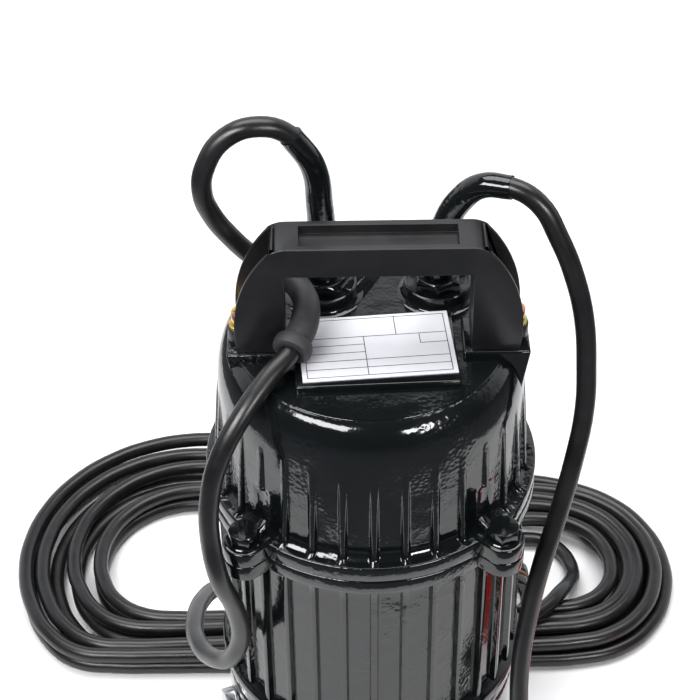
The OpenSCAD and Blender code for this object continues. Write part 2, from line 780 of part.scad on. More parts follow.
module rating_plate() {
    color("#dcdce0") translate([top_shift - 1, plate_y, z_foot]) rotate(plate_turn)
        translate([-plate_w / 2, -plate_d / 2, 0]) cube([plate_w, plate_d, plate_t2]);
}

module gland_nuts() {
    color("#1a1d1e") for (x = gland_xs) translate([x, gland_y, z_gland]) difference() {
        cylinder(r = gland_nut_r, h = gland_nut_h, $fn = 6);
        translate([0, 0, -1]) cylinder(r = cord_d / 2 + 0.6, h = 20);
    }
}

module gland_seals() {
    color("#141414") for (x = gland_xs) translate([x, gland_y, z_gland - 8]) difference() {
        cylinder(r = 8.9, h = 7.8);
        translate([0, 0, -1]) cylinder(r = cord_d / 2 + 0.3, h = 20);
    }
}

// ---------- handle ----------
module handle_side() {
    x = handle_w / 2;
    cx = x - handle_side_r;
    lift = asin((handle_h - side_z) / handle_side_r);
    right = arc(cx, side_z, handle_side_r, 0, lift, 14);
    left = [for (i = [len(right) - 1:-1:0]) [-right[i][0], right[i][1]]];
    polygon(concat([[-x + 0.5, 0], [x - 0.5, 0]], right, left));
}

module handle() {
    inner_d = handle_d - 2 * plate_t;
    x = handle_w / 2;
    cx = x - handle_side_r;
    top_half = cx + sqrt(pow(handle_side_r, 2) - pow(handle_h - side_z, 2));
    color("#1d1e20") translate([top_shift, handle_y, z_foot]) difference() {
        union() {
            rotate([90, 0, 0]) translate([0, 0, handle_d / 2 - plate_t])
                linear_extrude(plate_t) handle_side();
            rotate([90, 0, 0]) translate([0, 0, -handle_d / 2])
                linear_extrude(plate_t) handle_side();
            translate([-top_half, -inner_d / 2 - 1, window_h])
                cube([2 * top_half, inner_d + 2, grip_h]);
            for (s = [0, 1]) mirror([s, 0, 0]) {
                translate([window_w / 2, -inner_d / 2 - 1, 0]) cube([web_t, inner_d + 2, handle_h - 1]);
                translate([window_w / 2, -inner_d / 2 - 1, 0])
                    cube([x - 1 - window_w / 2, inner_d + 2, foot_t]);
                translate([screw_x, 0, 0]) cylinder(r = tab_r, h = foot_t);
            }
        }
        translate([-window_w / 2, -handle_d, -1]) cube([window_w, 2 * handle_d, window_h + 1]);
        translate([-recess_w / 2, -handle_d / 2 + recess_rim, handle_h - recess_h])
            cube([recess_w, handle_d - 2 * recess_rim, 20]);
        for (s = [-1, 1]) translate([s * screw_x, 0, -1])
            cylinder(d = handle_screw_d + 0.6, h = foot_t + 2);
    }
}

module handle_screws() {
    color("#c9a765") for (s = [-1, 1])
        translate([top_shift + s * screw_x, handle_y, z_foot + foot_t + 1.6])
            socket_screw(handle_screw_d, foot_t + 1.6 + 12);
}

module handle_washers() {
    color("#c9a765") for (s = [-1, 1])
        translate([top_shift + s * screw_x, handle_y, z_foot + foot_t]) tube(6, 3.2, 1.6);
}

// ---------- leads ----------
module mains_sleeve() {
    color("#1c1c1d") boot(cut(mains_route, 5), sleeve_foot_r, sleeve_tip_r);
}

module float_sleeve() {
    color("#1c1c1d") boot(cut(float_route, 6), sleeve_foot_r, sleeve_tip_r);
}

module lead_bush() {
    p = mains_route;
    color("#2a2a2b") {
        boot([p[12], p[13], p[14], p[15] + 0.15 * (p[14] - p[15])], sleeve_tip_r, sleeve_foot_r);
        sweep([p[15] + 0.35 * (p[14] - p[15]), p[15] - 0.05 * (p[14] - p[15])],
            [8.2, 8.6], sleeve_sides * 2);
    }
}

module mains_lead() {
    color("#1c1c1d") lead(mains_route);
}

module mains_tail() {
    color("#1c1c1d") lead(tail_route);
}

module float_lead() {
    color("#1c1c1d") lead(float_route);
}

module coil_outline(w_left, w_right) {
    a = coil_left[2] + w_left;
    b = coil_right[2] + w_right;
    v = [coil_right[0] - coil_left[0], coil_right[1] - coil_left[1]];
    aim = atan2(v[1], v[0]);
    lean = acos((a - b) / norm(v));
    polygon(concat(
        arc(coil_left[0], coil_left[1], a, aim + lean, aim + 360 - lean, 30),
        arc(coil_right[0], coil_right[1], b, aim - lean, aim + lean, 24)));
}

module mains_coil() {
    far = 400;
    color("#1c1c1d") linear_extrude(coil_h) difference() {
        intersection() {
            coil_outline(coil_flat_w + cord_d / 2, coil_stack_w + cord_d / 2);
            translate([-far, coil_front_y]) square([2 * far, far]);
        }
        coil_outline(-cord_d / 2, -cord_d / 2);
    }
}

module plug_body() {
    color("#1c1c1d") translate(plug_at) rotate([0, -90, 0]) {
        cylinder(r1 = cord_d / 2 + 1, r2 = 9, h = plug_neck);
        translate([0, 0, plug_neck]) cylinder(r1 = 12, r2 = plug_r, h = 10);
        translate([0, 0, plug_neck + 10]) cylinder(r = plug_r, h = plug_l - 10);
    }
}

module plug_pins() {
    color("#c9cbcc") translate(plug_at) rotate([0, -90, 0])
        for (s = [-1, 1]) translate([0, s * 9.5, plug_neck + plug_l]) cylinder(d = 4.8, h = 19);
}

// ---------- float ----------
module float_outline(inset) {
    l0 = boot_l + inset;
    l1 = boot_l + float_l - inset;
    w = float_w / 2 - inset;
    r = float_corner - inset;
    polygon(concat(
        arc(l1 - r, w - r, r, 0, 90, 8), arc(l0 + r, w - r, r, 90, 180, 8),
        arc(l0 + r, r - w, r, 180, 270, 8), arc(l1 - r, r - w, r, 270, 360, 8)));
}

module float_half() {
    half = float_h / 2;
    difference() {
        linear_extrude(half) float_outline(0);
        translate([0, 0, -1]) linear_extrude(half - float_wall + 1) float_outline(float_wall);
        translate([0, 0, 0]) rotate([0, 90, 0]) cylinder(r = boot_r - 1.5, h = boot_l + 20);
    }
}

module float_upper_shell() {
    color("#c8281e") translate(float_pivot) float_half();
}

module float_lower_shell() {
    color("#c8281e") translate(float_pivot) mirror([0, 0, 1]) float_half();
}

module float_boot() {
    spigot_r = boot_r - 1.6;
    color("#1c1c1d") translate(float_pivot) rotate([0, 90, 0]) rotate_extrude()
        polygon(concat(arc(0, 0, pivot_r, -90, 0, 10),
            [[boot_r, boot_l], [spigot_r, boot_l], [spigot_r, boot_l + 8], [0, boot_l + 8]]));
}

module float_switch_cell() {
    color("#e6e2d6") translate(float_pivot + [boot_l + 10, -14, float_wall - float_h / 2])
        difference() {
            cube([66, 28, 2 * (float_h / 2 - float_wall)]);
            translate([24, 14, float_h / 2 - float_wall]) rotate([0, 90, 0])
                cylinder(r = ball_r + 0.3, h = 36);
        }
}

module float_ball() {
    color("#dfe1e2") translate(float_pivot + [boot_l + 10 + 24 + ball_r + 0.4, 0, 0])
        sphere(r = ball_r);
}

strainer();
strainer_screws();
suction_plate();
volute_casing();
discharge_gasket();
hose_elbow();
elbow_screws();
oil_chamber();
oil_plug();
bearing_bracket();
case_bolts();
motor_body();
cover_seal();
top_cover();
cover_bolts();
cover_washers();
rating_plate();
handle();
handle_screws();
handle_washers();
gland_nuts();
gland_seals();
mains_sleeve();
float_sleeve();
lead_bush();
stator_core();
upper_winding();
lower_winding();
upper_bearing_plate();
bearing_outer_rings();
bearing_balls();
capacitor();
capacitor_clip();
terminal_block();
thermal_cutout();
earth_screw();
seal_seat();
shaft();
rotor_core();
rotor_end_rings();
bearing_inner_rings();
seal_face();
impeller();
impeller_key();
impeller_nut();
mains_lead();
mains_coil();
mains_tail();
plug_body();
plug_pins();
float_lead();
float_upper_shell();
float_lower_shell();
float_boot();
float_switch_cell();
float_ball();
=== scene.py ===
"""Submersible sump pump: its finished pieces and the stage, around the packed model."""

import math

import bmesh
import bpy
from mathutils import Matrix, Vector


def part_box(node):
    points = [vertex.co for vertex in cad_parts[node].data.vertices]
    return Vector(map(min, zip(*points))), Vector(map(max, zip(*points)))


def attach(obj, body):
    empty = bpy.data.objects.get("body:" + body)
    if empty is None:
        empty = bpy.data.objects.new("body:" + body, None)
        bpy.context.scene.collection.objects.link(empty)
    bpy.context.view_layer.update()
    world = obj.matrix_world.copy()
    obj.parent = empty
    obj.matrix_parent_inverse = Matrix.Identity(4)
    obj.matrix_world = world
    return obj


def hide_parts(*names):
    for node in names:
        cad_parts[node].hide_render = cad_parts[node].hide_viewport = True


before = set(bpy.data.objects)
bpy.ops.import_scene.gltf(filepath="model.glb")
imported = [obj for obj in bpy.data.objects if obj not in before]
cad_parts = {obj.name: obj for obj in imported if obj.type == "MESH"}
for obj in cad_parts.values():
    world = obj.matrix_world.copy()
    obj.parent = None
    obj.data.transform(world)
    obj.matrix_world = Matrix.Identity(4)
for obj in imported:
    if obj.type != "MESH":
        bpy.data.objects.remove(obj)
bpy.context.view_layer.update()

bl_info = {
    "name": "Sump Pump Pieces",
    "version": (1, 0, 0),
    "blender": (4, 5, 0),
    "location": "View3D > Sidebar > Pump",
    "description": "Builds the finished pieces of a submersible sump pump",
    "category": "Object",
}

MM = 0.001

# Levels, in millimetres, from the packed model
JOINT_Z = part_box("top_cover")[0].z / MM
RIM_TOP_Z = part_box("top_cover")[1].z / MM
FOOT_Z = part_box("handle")[0].z / MM
MOTOR_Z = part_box("motor_body")[0].z / MM

# Case sizes, in millimetres
FLANGE_R = 76.0
FLANGE_T = 8.0
LEDGE_Z = JOINT_Z + FLANGE_T
TOP_Z = FOOT_Z - 3.0
PANEL_R = 69.5
PANEL_MIDDLE_R = PANEL_R - 0.33  # a panel is flat, so it is nearest the shaft halfway between ribs
NECK_R = 68.5
NECK_Z = LEDGE_Z + 48.5
PLATEAU_R = 60.5
RIB_COUNT = 32
RIB_STEP = math.tau / RIB_COUNT
RIB_HALF = 1.6
RIB_OUT = 2.6
BOLT_CIRCLE_R = 81.0
BOSS_R = 9.5
BOLT_ANGLES = (45, 135, 225, 315)
NOTCH_R = 13.0  # room for a socket round each bolt's head
NOTCH_TOP = 24.0
WALL_SINK = 0.5
EDGE_R = 0.9
BODY_BORE_R = 62.5
GLAND_AT = ((-20.7, 24.5), (30.3, 24.5))
TOP_SHIFT = 3.0  # the handle and the plate stand this far right of the shaft
HANDLE_Y = -9.0
SKIN_GAP = 0.12  # each half of the joint stops this short, so a dark line shows between them

# Leads, in millimetres. The tail leaves the coil's upper layer; the others follow the solids.
CORD_D = 9.0
SLEEVE_WALLS = (2.3, 0.75)  # at the gland and at the tip
MAINS_ROUTE = [
    (-20.7, 24.5, 349.5), (-20.7, 24.5, 366), (-21.5, 24, 387), (-24, 23, 409), (-33, 21, 426),
    (-46, 18, 433), (-60, 16, 429), (-69, 14, 416), (-71, 14, 403), (-68, 15, 391),
    (-60, 15, 378), (-50, 14.5, 367), (-38, 11.5, 360), (-29.5, 2, 357), (-28.5, -14, 354.5),
    (-34.5, -28.5, 350), (-45, -41, 344.5), (-56, -53, 334), (-65, -61, 319), (-70, -65, 300),
    (-71, -67.5, 277), (-68, -70, 254), (-63, -64, 230), (-61, -60, 206), (-66, -56, 186),
    (-76, -44, 171), (-85, -24, 160), (-88, 0, 149), (-86, 26, 135), (-79, 50, 118),
    (-67, 72, 96), (-50, 88, 70), (-28, 96, 46), (0, 98, 30), (28, 98, 24),
    (56, 98, 23.5), (84, 103, 23.3), (104, 116, 23), (115, 130, 21.5), (122, 144, 14),
    (126, 160, 6), (122, 177, 4.7), (111, 187.5, 4.6), (94, 190.5, 4.5),
]
TAIL_ROUTE = [
    (66, 193, 13.4), (50, 190.5, 11.5), (36, 186.5, 10.5), (24, 181.5, 12), (12, 177, 16),
    (2, 175, 20),
]
FLOAT_ROUTE = [
    (30.3, 24.5, 349.5), (30.3, 24.5, 360), (33, 23, 377), (39, 20.5, 392), (48, 17, 402),
    (60, 12.5, 404), (71, 8, 399), (80, 4, 384), (88, 1, 364), (93, -3, 344),
    (95, -8, 322), (95, -14, 300), (91, -22, 277), (85, -30, 252), (78, -38, 226),
    (73, -44, 198), (70, -50, 170), (70, -57, 142), (71, -66, 112), (75, -77, 82),
    (82, -90, 54), (94, -102, 28), (110, -108, 11), (128, -104, 5), (142, -90, 4.5),
    (149, -70, 4.5), (150, -48, 4.5), (148, -26, 5), (149, -6, 8), (157, 12, 13),
    (166.5, 20, 17), (173.6, 21.8, 18.9),
]
PLUG_AT = (2, 175, 20)
COIL_LEFT = (-104, 170, 50, 59)  # a lobe's middle, its inner radius and the width of its strands
COIL_RIGHT = (110, 160, 38, 35)
COIL_TURNS = 8
COIL_START = 0.13  # share of a turn that the fall down the case has already made
COIL_FRONT = (123, 34.5)  # how far back the inner turn's front lies, and how much less the outer's
COIL_BEND = 6  # how softly a turn bends into its straight front
LAYER_LIFT = 8.9  # from the lower layer to the upper one
POINTS_PER_TURN = 36

# Studio, in metres
CAMERA_AT = (-0.0142, -0.6667, 0.9012)
CAMERA_AIM = (-0.0092, 0, 0.3256)
CAMERA_ROLL = -0.54
CAMERA_LENS, CAMERA_SENSOR = 102.3, 36
FLOOR_SIZE, FLOOR_DROP = 6, 0.0003
PAINTED_SHADE_REACH = (0.29, 0.32)  # where the floor's painted shade, away from the pump, starts and where it is full
PAPER_STRETCH = 0.62  # under 1, so the white, unshaded part of the floor is wider than it is deep
DARK_ROOM, BACKDROP = 0.06, 1.3  # how bright the room is in front of the pump and behind it
SOFT_BOXES = (  # name, place, aim, width, height, watts
    ("left_soft_box", (-0.5, -0.62, 0.98), (-0.02, -0.05, 0.32), 0.66, 0.3, 12),
    ("right_soft_box", (0.55, -0.88, 0.78), (0.02, -0.05, 0.32), 0.34, 0.18, 6),
    ("top_soft_box", (0.0, 0.5, 2.1), (0, 0.15, 0), 2.2, 1.2, 50),
)

# Scales of the finishes' patterns, in features to a metre
SPRAY_PATCHES = 22.0  # 45 mm: wet and half-dry enamel
CAST_SWELL = 110.0  # 9 mm: the casting's skin
SPRAY_BLOBS = 480.0  # 2 mm: drops of half-dry spray
MOULD_CLOUDS = 35.0  # 29 mm: handling shine on plastic
TALC_CLOUDS = 60.0  # 17 mm: talc left on rubber
RUBBER_GRAIN = 1500.0  # 0.7 mm: coarser than real, so that it shows
METAL_CLOUDS = 45.0  # 22 mm: dull and bright metal
CHROMATE_FILM = 190.0  # 5 mm: one colour of the chromate's film
CHROMATE_GRAIN = 900.0  # 1 mm
PLATE_LINES = 2200.0  # 0.5 mm: coarser than real, so that they show
PLATE_CLOUDS = 30.0  # 33 mm
INK_WEAR = 700.0  # 1.4 mm
FIBRE_FLECKS = 800.0  # 1.3 mm


# ---------- sizes and colours a user would change ----------
def linear(hex_colour):
    """The linear colour of an sRGB hex value such as '#1a1c1d'."""
    parts = [int(hex_colour[i:i + 2], 16) / 255 for i in (1, 3, 5)]
    return tuple(c / 12.92 if c <= 0.04045 else ((c + 0.055) / 1.055) ** 2.4 for c in parts)


def colour_property(name, description, hex_colour):
    return bpy.props.FloatVectorProperty(
        name=name, description=description, subtype="COLOR", size=3, min=0, max=1,
        default=linear(hex_colour))


class PumpColours(bpy.types.PropertyGroup):
    """Colours of the pump's finishes."""
    enamel: colour_property("Enamel", "Sprayed enamel of the castings", "#0c0f10")
    handle: colour_property("Handle", "Moulded plastic of the handle", "#131315")
    rubber: colour_property("Rubber", "Rubber of both leads", "#111112")
    bush: colour_property("Bush", "Rubber of the loose bush", "#28282a")
    plate: colour_property("Plate", "Face of the rating plate", "#d9d9df")
    float_case: colour_property("Float", "Moulded case of the float", "#c3170f")


class PumpSizes(bpy.types.PropertyGroup):
    """Sizes of the details that only the finished pieces have."""
    edge_radius: bpy.props.FloatProperty(
        name="Edge radius", description="Rounding of the moulded edges", subtype="DISTANCE",
        default=0.0011, min=0.0001, max=0.003)
    peel_size: bpy.props.FloatProperty(
        name="Orange peel", description="Width of one bump in the sprayed enamel",
        subtype="DISTANCE", default=0.0016, min=0.0005, max=0.006)
    mains_length: bpy.props.FloatProperty(
        name="Mains lead", description="Length of the mains lead", subtype="DISTANCE",
        default=7.8, min=2, max=20)
    float_lead_length: bpy.props.FloatProperty(
        name="Float lead", description="Length of the float switch's lead", subtype="DISTANCE",
        default=0.68, min=0.3, max=3)


def colours():
    return bpy.context.scene.pump_colours


def sizes():
    return bpy.context.scene.pump_sizes


# ---------- modelling helpers ----------
def mm(*values):
    return Vector([v * MM for v in values])


def deselect():
    if bpy.context.object and bpy.context.object.mode != "OBJECT":
        bpy.ops.object.mode_set(mode="OBJECT")
    bpy.ops.object.select_all(action="DESELECT")


def take(obj):
    """Makes obj the only selected object and the active one."""
    deselect()
    obj.select_set(True)
    bpy.context.view_layer.objects.active = obj
    return obj


def named(name):
    obj = bpy.context.object
    obj.name = obj.data.name = name
    return obj


def placed(name, data):
    """A new object at the origin that shows data."""
    obj = bpy.data.objects.new(name, data)
    bpy.context.scene.collection.objects.link(obj)
    return obj


def settle(obj):
    """Moves the object's place, turn and scale into its mesh."""
    take(obj)
    bpy.ops.object.transform_apply(location=True, rotation=True, scale=True)
    return obj


def smooth(obj, degrees=35):
    take(obj)
    bpy.ops.object.shade_smooth_by_angle(angle=math.radians(degrees))
    return obj


def modify(obj, kind, **settings):
    """Adds a modifier with its settings and applies it."""
    take(obj)
    modifier = obj.modifiers.new(kind.lower(), kind)
    for key, value in settings.items():
        setattr(modifier, key, value)
    bpy.ops.object.modifier_apply(modifier=modifier.name)
    return obj


def bevel(obj, width, segments=3, degrees=35):
    modify(obj, "BEVEL", width=width * MM, segments=segments, limit_method="ANGLE",
           angle_limit=math.radians(degrees))
    return smooth(obj)


def block(name, low, high):
    """A box between two corners, in millimetres."""
    deselect()
    middle = [(a + b) / 2 for a, b in zip(low, high)]
    bpy.ops.mesh.primitive_cube_add(size=1, location=mm(*middle))
    obj = named(name)
    obj.scale = mm(*[b - a for a, b in zip(low, high)])
    return settle(obj)


def rod(name, radius, start, end, vertices=48, top_radius=None):
    """A cylinder or cone from start to end, in millimetres."""
    deselect()
    a, b = Vector(start), Vector(end)
    along = b - a
    bpy.ops.mesh.primitive_cone_add(
        vertices=vertices, radius1=radius * MM,
        radius2=(radius if top_radius is None else top_radius) * MM,
        depth=along.length * MM, location=(a + b) / 2 * MM)
    obj = named(name)
    obj.rotation_mode = "QUATERNION"
    obj.rotation_quaternion = along.to_track_quat("Z", "Y")
    return settle(obj)


def join(name, first, *others):
    """Makes several pieces one object, without uniting their solids."""
    take(first)
    for other in others:
        other.select_set(True)
    bpy.ops.object.join()
    return named(name)


def drill(obj, *tools):
    """Cuts each tool out of obj, and removes the tools."""
    for tool in tools:
        modify(obj, "BOOLEAN", operation="DIFFERENCE", solver="EXACT", object=tool)
        bpy.data.objects.remove(tool)
    return obj


def shift(obj, x=0.0, y=0.0, z=0.0, turn=0.0):
    """Turns obj about the shaft's axis, then moves it, in degrees and millimetres."""
    spin = Matrix.Rotation(math.radians(turn), 4, "Z")
    obj.data.transform(Matrix.Translation(mm(x, y, z)) @ spin)
    return obj


def outward(obj):
    """Merges the piece's doubled points and turns all its faces outwards."""
    take(obj)
    bpy.ops.object.mode_set(mode="EDIT")
    bpy.ops.mesh.select_all(action="SELECT")
    bpy.ops.mesh.remove_doubles(threshold=0.00001)
    bpy.ops.mesh.normals_make_consistent(inside=False)
    bpy.ops.object.mode_set(mode="OBJECT")
    return obj


def node_copy(node, name):
    """A merged copy of a packed node's mesh, which stands for the node."""
    source = bpy.data.objects[node]
    obj = placed(name, source.data.copy())
    obj.data.materials.clear()
    outward(obj)
    take(obj)
    bpy.ops.object.mode_set(mode="EDIT")
    bpy.ops.mesh.select_all(action="SELECT")
    bpy.ops.mesh.dissolve_limited(angle_limit=math.radians(0.5))
    bpy.ops.object.mode_set(mode="OBJECT")
    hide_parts(node)
    return obj


def cast_copy(node, name):
    """A packed casting with the soft edges and filleted corners that sand and paint leave."""
    obj = node_copy(node, name)
    modify(obj, "REMESH", mode="VOXEL", voxel_size=1.4 * MM)
    modify(obj, "SMOOTH", factor=0.5, iterations=4)
    take(obj)
    bpy.ops.object.shade_smooth()
    return obj


def machined_copy(node, name, edge):
    """A packed turned or pressed piece with its sharp edges broken."""
    return bevel(node_copy(node, name), edge, 2)


def lathe(name, profile, at=(0, 0, 0), steps=96):
    """A profile of (radius, height) points spun about an upright axis through at."""
    mesh = bpy.data.meshes.new(name)
    obj = placed(name, mesh)
    bm = bmesh.new()
    ring = [bm.verts.new(mm(r, 0, z)) for r, z in profile]
    for a, b in zip(ring, ring[1:]):
        bm.edges.new((a, b))
    bm.to_mesh(mesh)
    bm.free()
    take(obj)
    bpy.ops.object.mode_set(mode="EDIT")
    bpy.ops.mesh.select_all(action="SELECT")
    bpy.ops.mesh.spin(steps=steps, angle=math.tau, center=(0, 0, 0), axis=(0, 0, 1))
    outward(obj)
    mesh.transform(Matrix.Translation(mm(*at)))
    return smooth(obj, 40)


def finish_with(obj, material, body="pump"):
    obj.data.materials.clear()
    obj.data.materials.append(material)
    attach(obj, body)


def refinish(node, material):
    """Gives a packed node's own mesh a finish."""
    data = bpy.data.objects[node].data
    data.materials.clear()
    data.materials.append(material)


# ---------- materials ----------
def add(tree, kind, settings=None, **inputs):
    """Adds a node with settings of its own and with inputs, which are values or sockets."""
    node = tree.nodes.new("ShaderNode" + kind)
    for key, value in (settings or {}).items():
        setattr(node, key, value)
    for key, value in inputs.items():
        socket = node.inputs[key.replace("_", " ")]
        if isinstance(value, bpy.types.NodeSocket):
            tree.links.new(value, socket)
        else:
            socket.default_value = value
    return node


def blank(name):
    """An empty material, its node tree and the piece's own coordinates."""
    material = bpy.data.materials.new(name)
    material.use_nodes = True
    tree = material.node_tree
    tree.nodes.clear()
    where = add(tree, "TexCoord").outputs["Object"]
    return material, tree, where


def shade(tree, **inputs):
    """The principled shader, joined to the output."""
    body = add(tree, "BsdfPrincipled", **inputs)
    out = add(tree, "OutputMaterial")
    tree.links.new(body.outputs["BSDF"], out.inputs["Surface"])


def reckoned(tree, operation, *values):
    """The result of a Math node on sockets or numbers."""
    node = add(tree, "Math", {"operation": operation})
    for socket, value in zip(node.inputs, values):
        if isinstance(value, bpy.types.NodeSocket):
            tree.links.new(value, socket)
        else:
            socket.default_value = value
    return node.outputs["Value"]


def spread(tree, value, start, end, low=0.0, high=1.0, kind="LINEAR"):
    """Maps start to end of a value onto low to high."""
    node = add(tree, "MapRange", {"interpolation_type": kind}, Value=value)
    for name, number in zip(("From Min", "From Max", "To Min", "To Max"), (start, end, low, high)):
        node.inputs[name].default_value = number
    return node.outputs["Result"]


def noise(tree, where, scale, detail, roughness=0.5):
    node = add(tree, "TexNoise", Vector=where, Scale=scale, Detail=detail, Roughness=roughness)
    return node.outputs["Fac"]


def bumped(tree, height, strength, depth, under=None):
    """A bump that is depth millimetres deep, on top of another if one is given."""
    node = add(tree, "Bump", Height=height, Strength=strength, Distance=depth * MM)
    if under:
        tree.links.new(under, node.inputs["Normal"])
    return node.outputs["Normal"]


def tinted(tree, value, low, high, tone, dark, light):
    """A tone that is darker at the value's low limit and lighter at its high one."""
    return ramp(tree, value, low, high, mixed(tone, dark), mixed(tone, light))


def ramp(tree, value, low, high, colour_low, colour_high):
    """Maps a value between two limits to a colour between two."""
    node = add(tree, "ValToRGB", Fac=value)
    ends = node.color_ramp.elements
    ends[0].position, ends[1].position = low, high
    ends[0].color, ends[1].color = (*colour_low, 1), (*colour_high, 1)
    return node.outputs["Color"]


def mixed(colour, factor):
    """A colour made that much lighter or darker."""
    return tuple(min(1.0, c * factor) for c in colour)


def once(maker, *settings):
    """Keeps a finish, so each is made a single time."""
    made = []

    def get():
        if not made:
            made.append(maker(*settings))
        return made[0]
    return get


@once
def enamel():
    """Gloss alkyd enamel sprayed thick over a rough casting."""
    material, tree, where = blank("gloss_enamel_over_casting")
    tone = colours().enamel
    # the spray wets out in some places and lands half dry in others
    patches = noise(tree, where, SPRAY_PATCHES, 3.0, 0.55)
    dry = spread(tree, patches, 0.52, 0.68)
    blobs = add(tree, "TexVoronoi", {"feature": "SMOOTH_F1"}, Vector=where, Scale=SPRAY_BLOBS,
                Smoothness=0.6)
    skin = bumped(tree, noise(tree, where, CAST_SWELL, 1.0, 0.4), 0.3, 0.6)
    skin = bumped(tree, reckoned(tree, "MULTIPLY", blobs.outputs["Distance"], dry), 0.6, 0.6, skin)
    # orange peel, one bump per peel_size
    skin = bumped(tree, noise(tree, where, 1 / sizes().peel_size, 1.5), 0.25, 0.2, skin)
    shade(tree, Base_Color=tinted(tree, patches, 0.3, 0.75, tone, 0.8, 1.5),
          Roughness=spread(tree, dry, 0.0, 1.0, 0.09, 0.2), IOR=1.52, Normal=skin)
    return material


def plastic(name, tone, grain, depth, rough_low, rough_high):
    """A moulded plastic: even colour, spark-eroded grain and a little handling shine."""
    material, tree, where = blank(name)
    cloud = noise(tree, where, MOULD_CLOUDS, 4.0, 0.6)
    pits = noise(tree, where, 1 / (grain * MM), 2.0, 0.6)
    shade(tree, Base_Color=tinted(tree, cloud, 0.3, 0.72, tone, 0.85, 1.3),
          Roughness=spread(tree, cloud, 0.35, 0.65, rough_low, rough_high), IOR=1.49,
          Normal=bumped(tree, pits, 0.35, depth))
    return material


@once
def handle_plastic():
    """Glass-filled nylon, satin from the mould, with a half-millimetre grain."""
    return plastic("moulded_nylon", colours().handle, 0.55, 0.05, 0.34, 0.48)


# Black polypropylene, duller than the handle
strainer_plastic = once(plastic, "moulded_polypropylene", linear("#191a1c"), 0.7, 0.05, 0.4, 0.55)


@once
def float_plastic():
    """Red polypropylene, glossy from a polished mould."""
    return plastic("moulded_red_polypropylene", colours().float_case, 1.4, 0.03, 0.2, 0.3)


# Cream phenolic of the terminal block and switch cell
cream_plastic = once(plastic, "moulded_phenolic", linear("#e4dfce"), 0.8, 0.03, 0.3, 0.4)
# Pale polypropylene of the capacitor's can
can_plastic = once(plastic, "capacitor_can", linear("#d4d4cc"), 1.0, 0.02, 0.25, 0.35)
# Black phenolic of the cut-out
dark_plastic = once(plastic, "cut_out_phenolic", linear("#202021"), 0.8, 0.03, 0.3, 0.4)


def rubber_finish(name, tone, rough_low, rough_high):
    """Rubber: dull, with a trace of talc in clouds and a fine grain."""
    material, tree, where = blank(name)
    cloud = noise(tree, where, TALC_CLOUDS, 5.0, 0.65)
    grain = noise(tree, where, RUBBER_GRAIN, 2.0, 0.6)
    shade(tree, Base_Color=tinted(tree, cloud, 0.35, 0.8, tone, 1.0, 1.8),
          Roughness=spread(tree, cloud, 0.3, 0.7, rough_low, rough_high), IOR=1.5,
          Normal=bumped(tree, grain, 0.25, 0.06))
    return material


@once
def cord_rubber():
    """Black chloroprene of the leads."""
    return rubber_finish("extruded_chloroprene", colours().rubber, 0.27, 0.4)


@once
def bush_rubber():
    """Dark grey nitrile of the loose bush."""
    return rubber_finish("moulded_nitrile", colours().bush, 0.5, 0.62)


# Soft black nitrile of the seals
seal_rubber = once(rubber_finish, "seal_nitrile", linear("#101011"), 0.5, 0.6)


def metal(name, tone, rough_low, rough_high, grain, stretch=(1, 1, 1), bump_depth=0.02):
    """A bare or plated metal whose grain may run one way."""
    material, tree, where = blank(name)
    run = add(tree, "Mapping", Vector=where, Scale=stretch).outputs["Vector"]
    lines = noise(tree, run, 1 / (grain * MM), 3.0)
    cloud = noise(tree, where, METAL_CLOUDS, 3.0)
    shade(tree, Base_Color=tinted(tree, cloud, 0.3, 0.7, tone, 0.82, 1.1), Metallic=1.0,
          Roughness=spread(tree, cloud, 0.0, 1.0, rough_low, rough_high),
          Normal=bumped(tree, lines, 0.3, bump_depth))
    return material


# Bright zinc plating on screws
bright_zinc = once(metal, "zinc_plated_steel", linear("#b9bbbd"), 0.22, 0.4, 0.9)
# Ground shaft steel, lines round the shaft
ground_steel = once(metal, "ground_steel", linear("#b0b3b5"), 0.2, 0.34, 0.5, (1, 1, 6))
# Polished bearing steel
bearing_steel = once(metal, "polished_steel", linear("#cfd1d2"), 0.08, 0.16, 2.0)
# Stacked laminations under brown varnish, 1 mm layers so that they show
core_steel = once(metal, "laminated_steel",
                  linear("#6d6760"), 0.4, 0.55, 1.0, (0.02, 0.02, 1), 0.15)
# Enamelled copper wire, drawn as 1.2 mm turns so that they show
winding_copper = once(metal, "enamelled_copper",
                      linear("#b0602f"), 0.25, 0.4, 1.2, (0.15, 0.15, 1), 0.25)
# Die-cast aluminium, dull
cast_aluminium = once(metal, "cast_aluminium", linear("#a4a7a9"), 0.42, 0.58, 1.1, (1, 1, 1), 0.06)
# Sand-cast bronze of the impeller
cast_bronze = once(metal, "cast_bronze", linear("#a58a50"), 0.38, 0.55, 1.3, (1, 1, 1), 0.08)


@once
def yellow_zinc():
    """Yellow chromate over zinc: gold that turns pink and green with the film's thickness."""
    material, tree, where = blank("yellow_chromate_zinc")
    film = noise(tree, where, CHROMATE_FILM, 2.0)
    node = add(tree, "ValToRGB", Fac=film)
    stops = node.color_ramp
    stops.elements[0].position, stops.elements[0].color = 0.32, (*linear("#9fae6a"), 1)
    stops.elements[1].position, stops.elements[1].color = 0.68, (*linear("#c98a9a"), 1)
    for place, tone in ((0.43, "#d6c06a"), (0.52, "#e0a850"), (0.6, "#c4907a")):
        stops.elements.new(place).color = (*linear(tone), 1)
    grain = noise(tree, where, CHROMATE_GRAIN, 2.0)
    shade(tree, Base_Color=node.outputs["Color"], Metallic=1.0, Roughness=0.26,
          Normal=bumped(tree, grain, 0.25, 0.04))
    return material


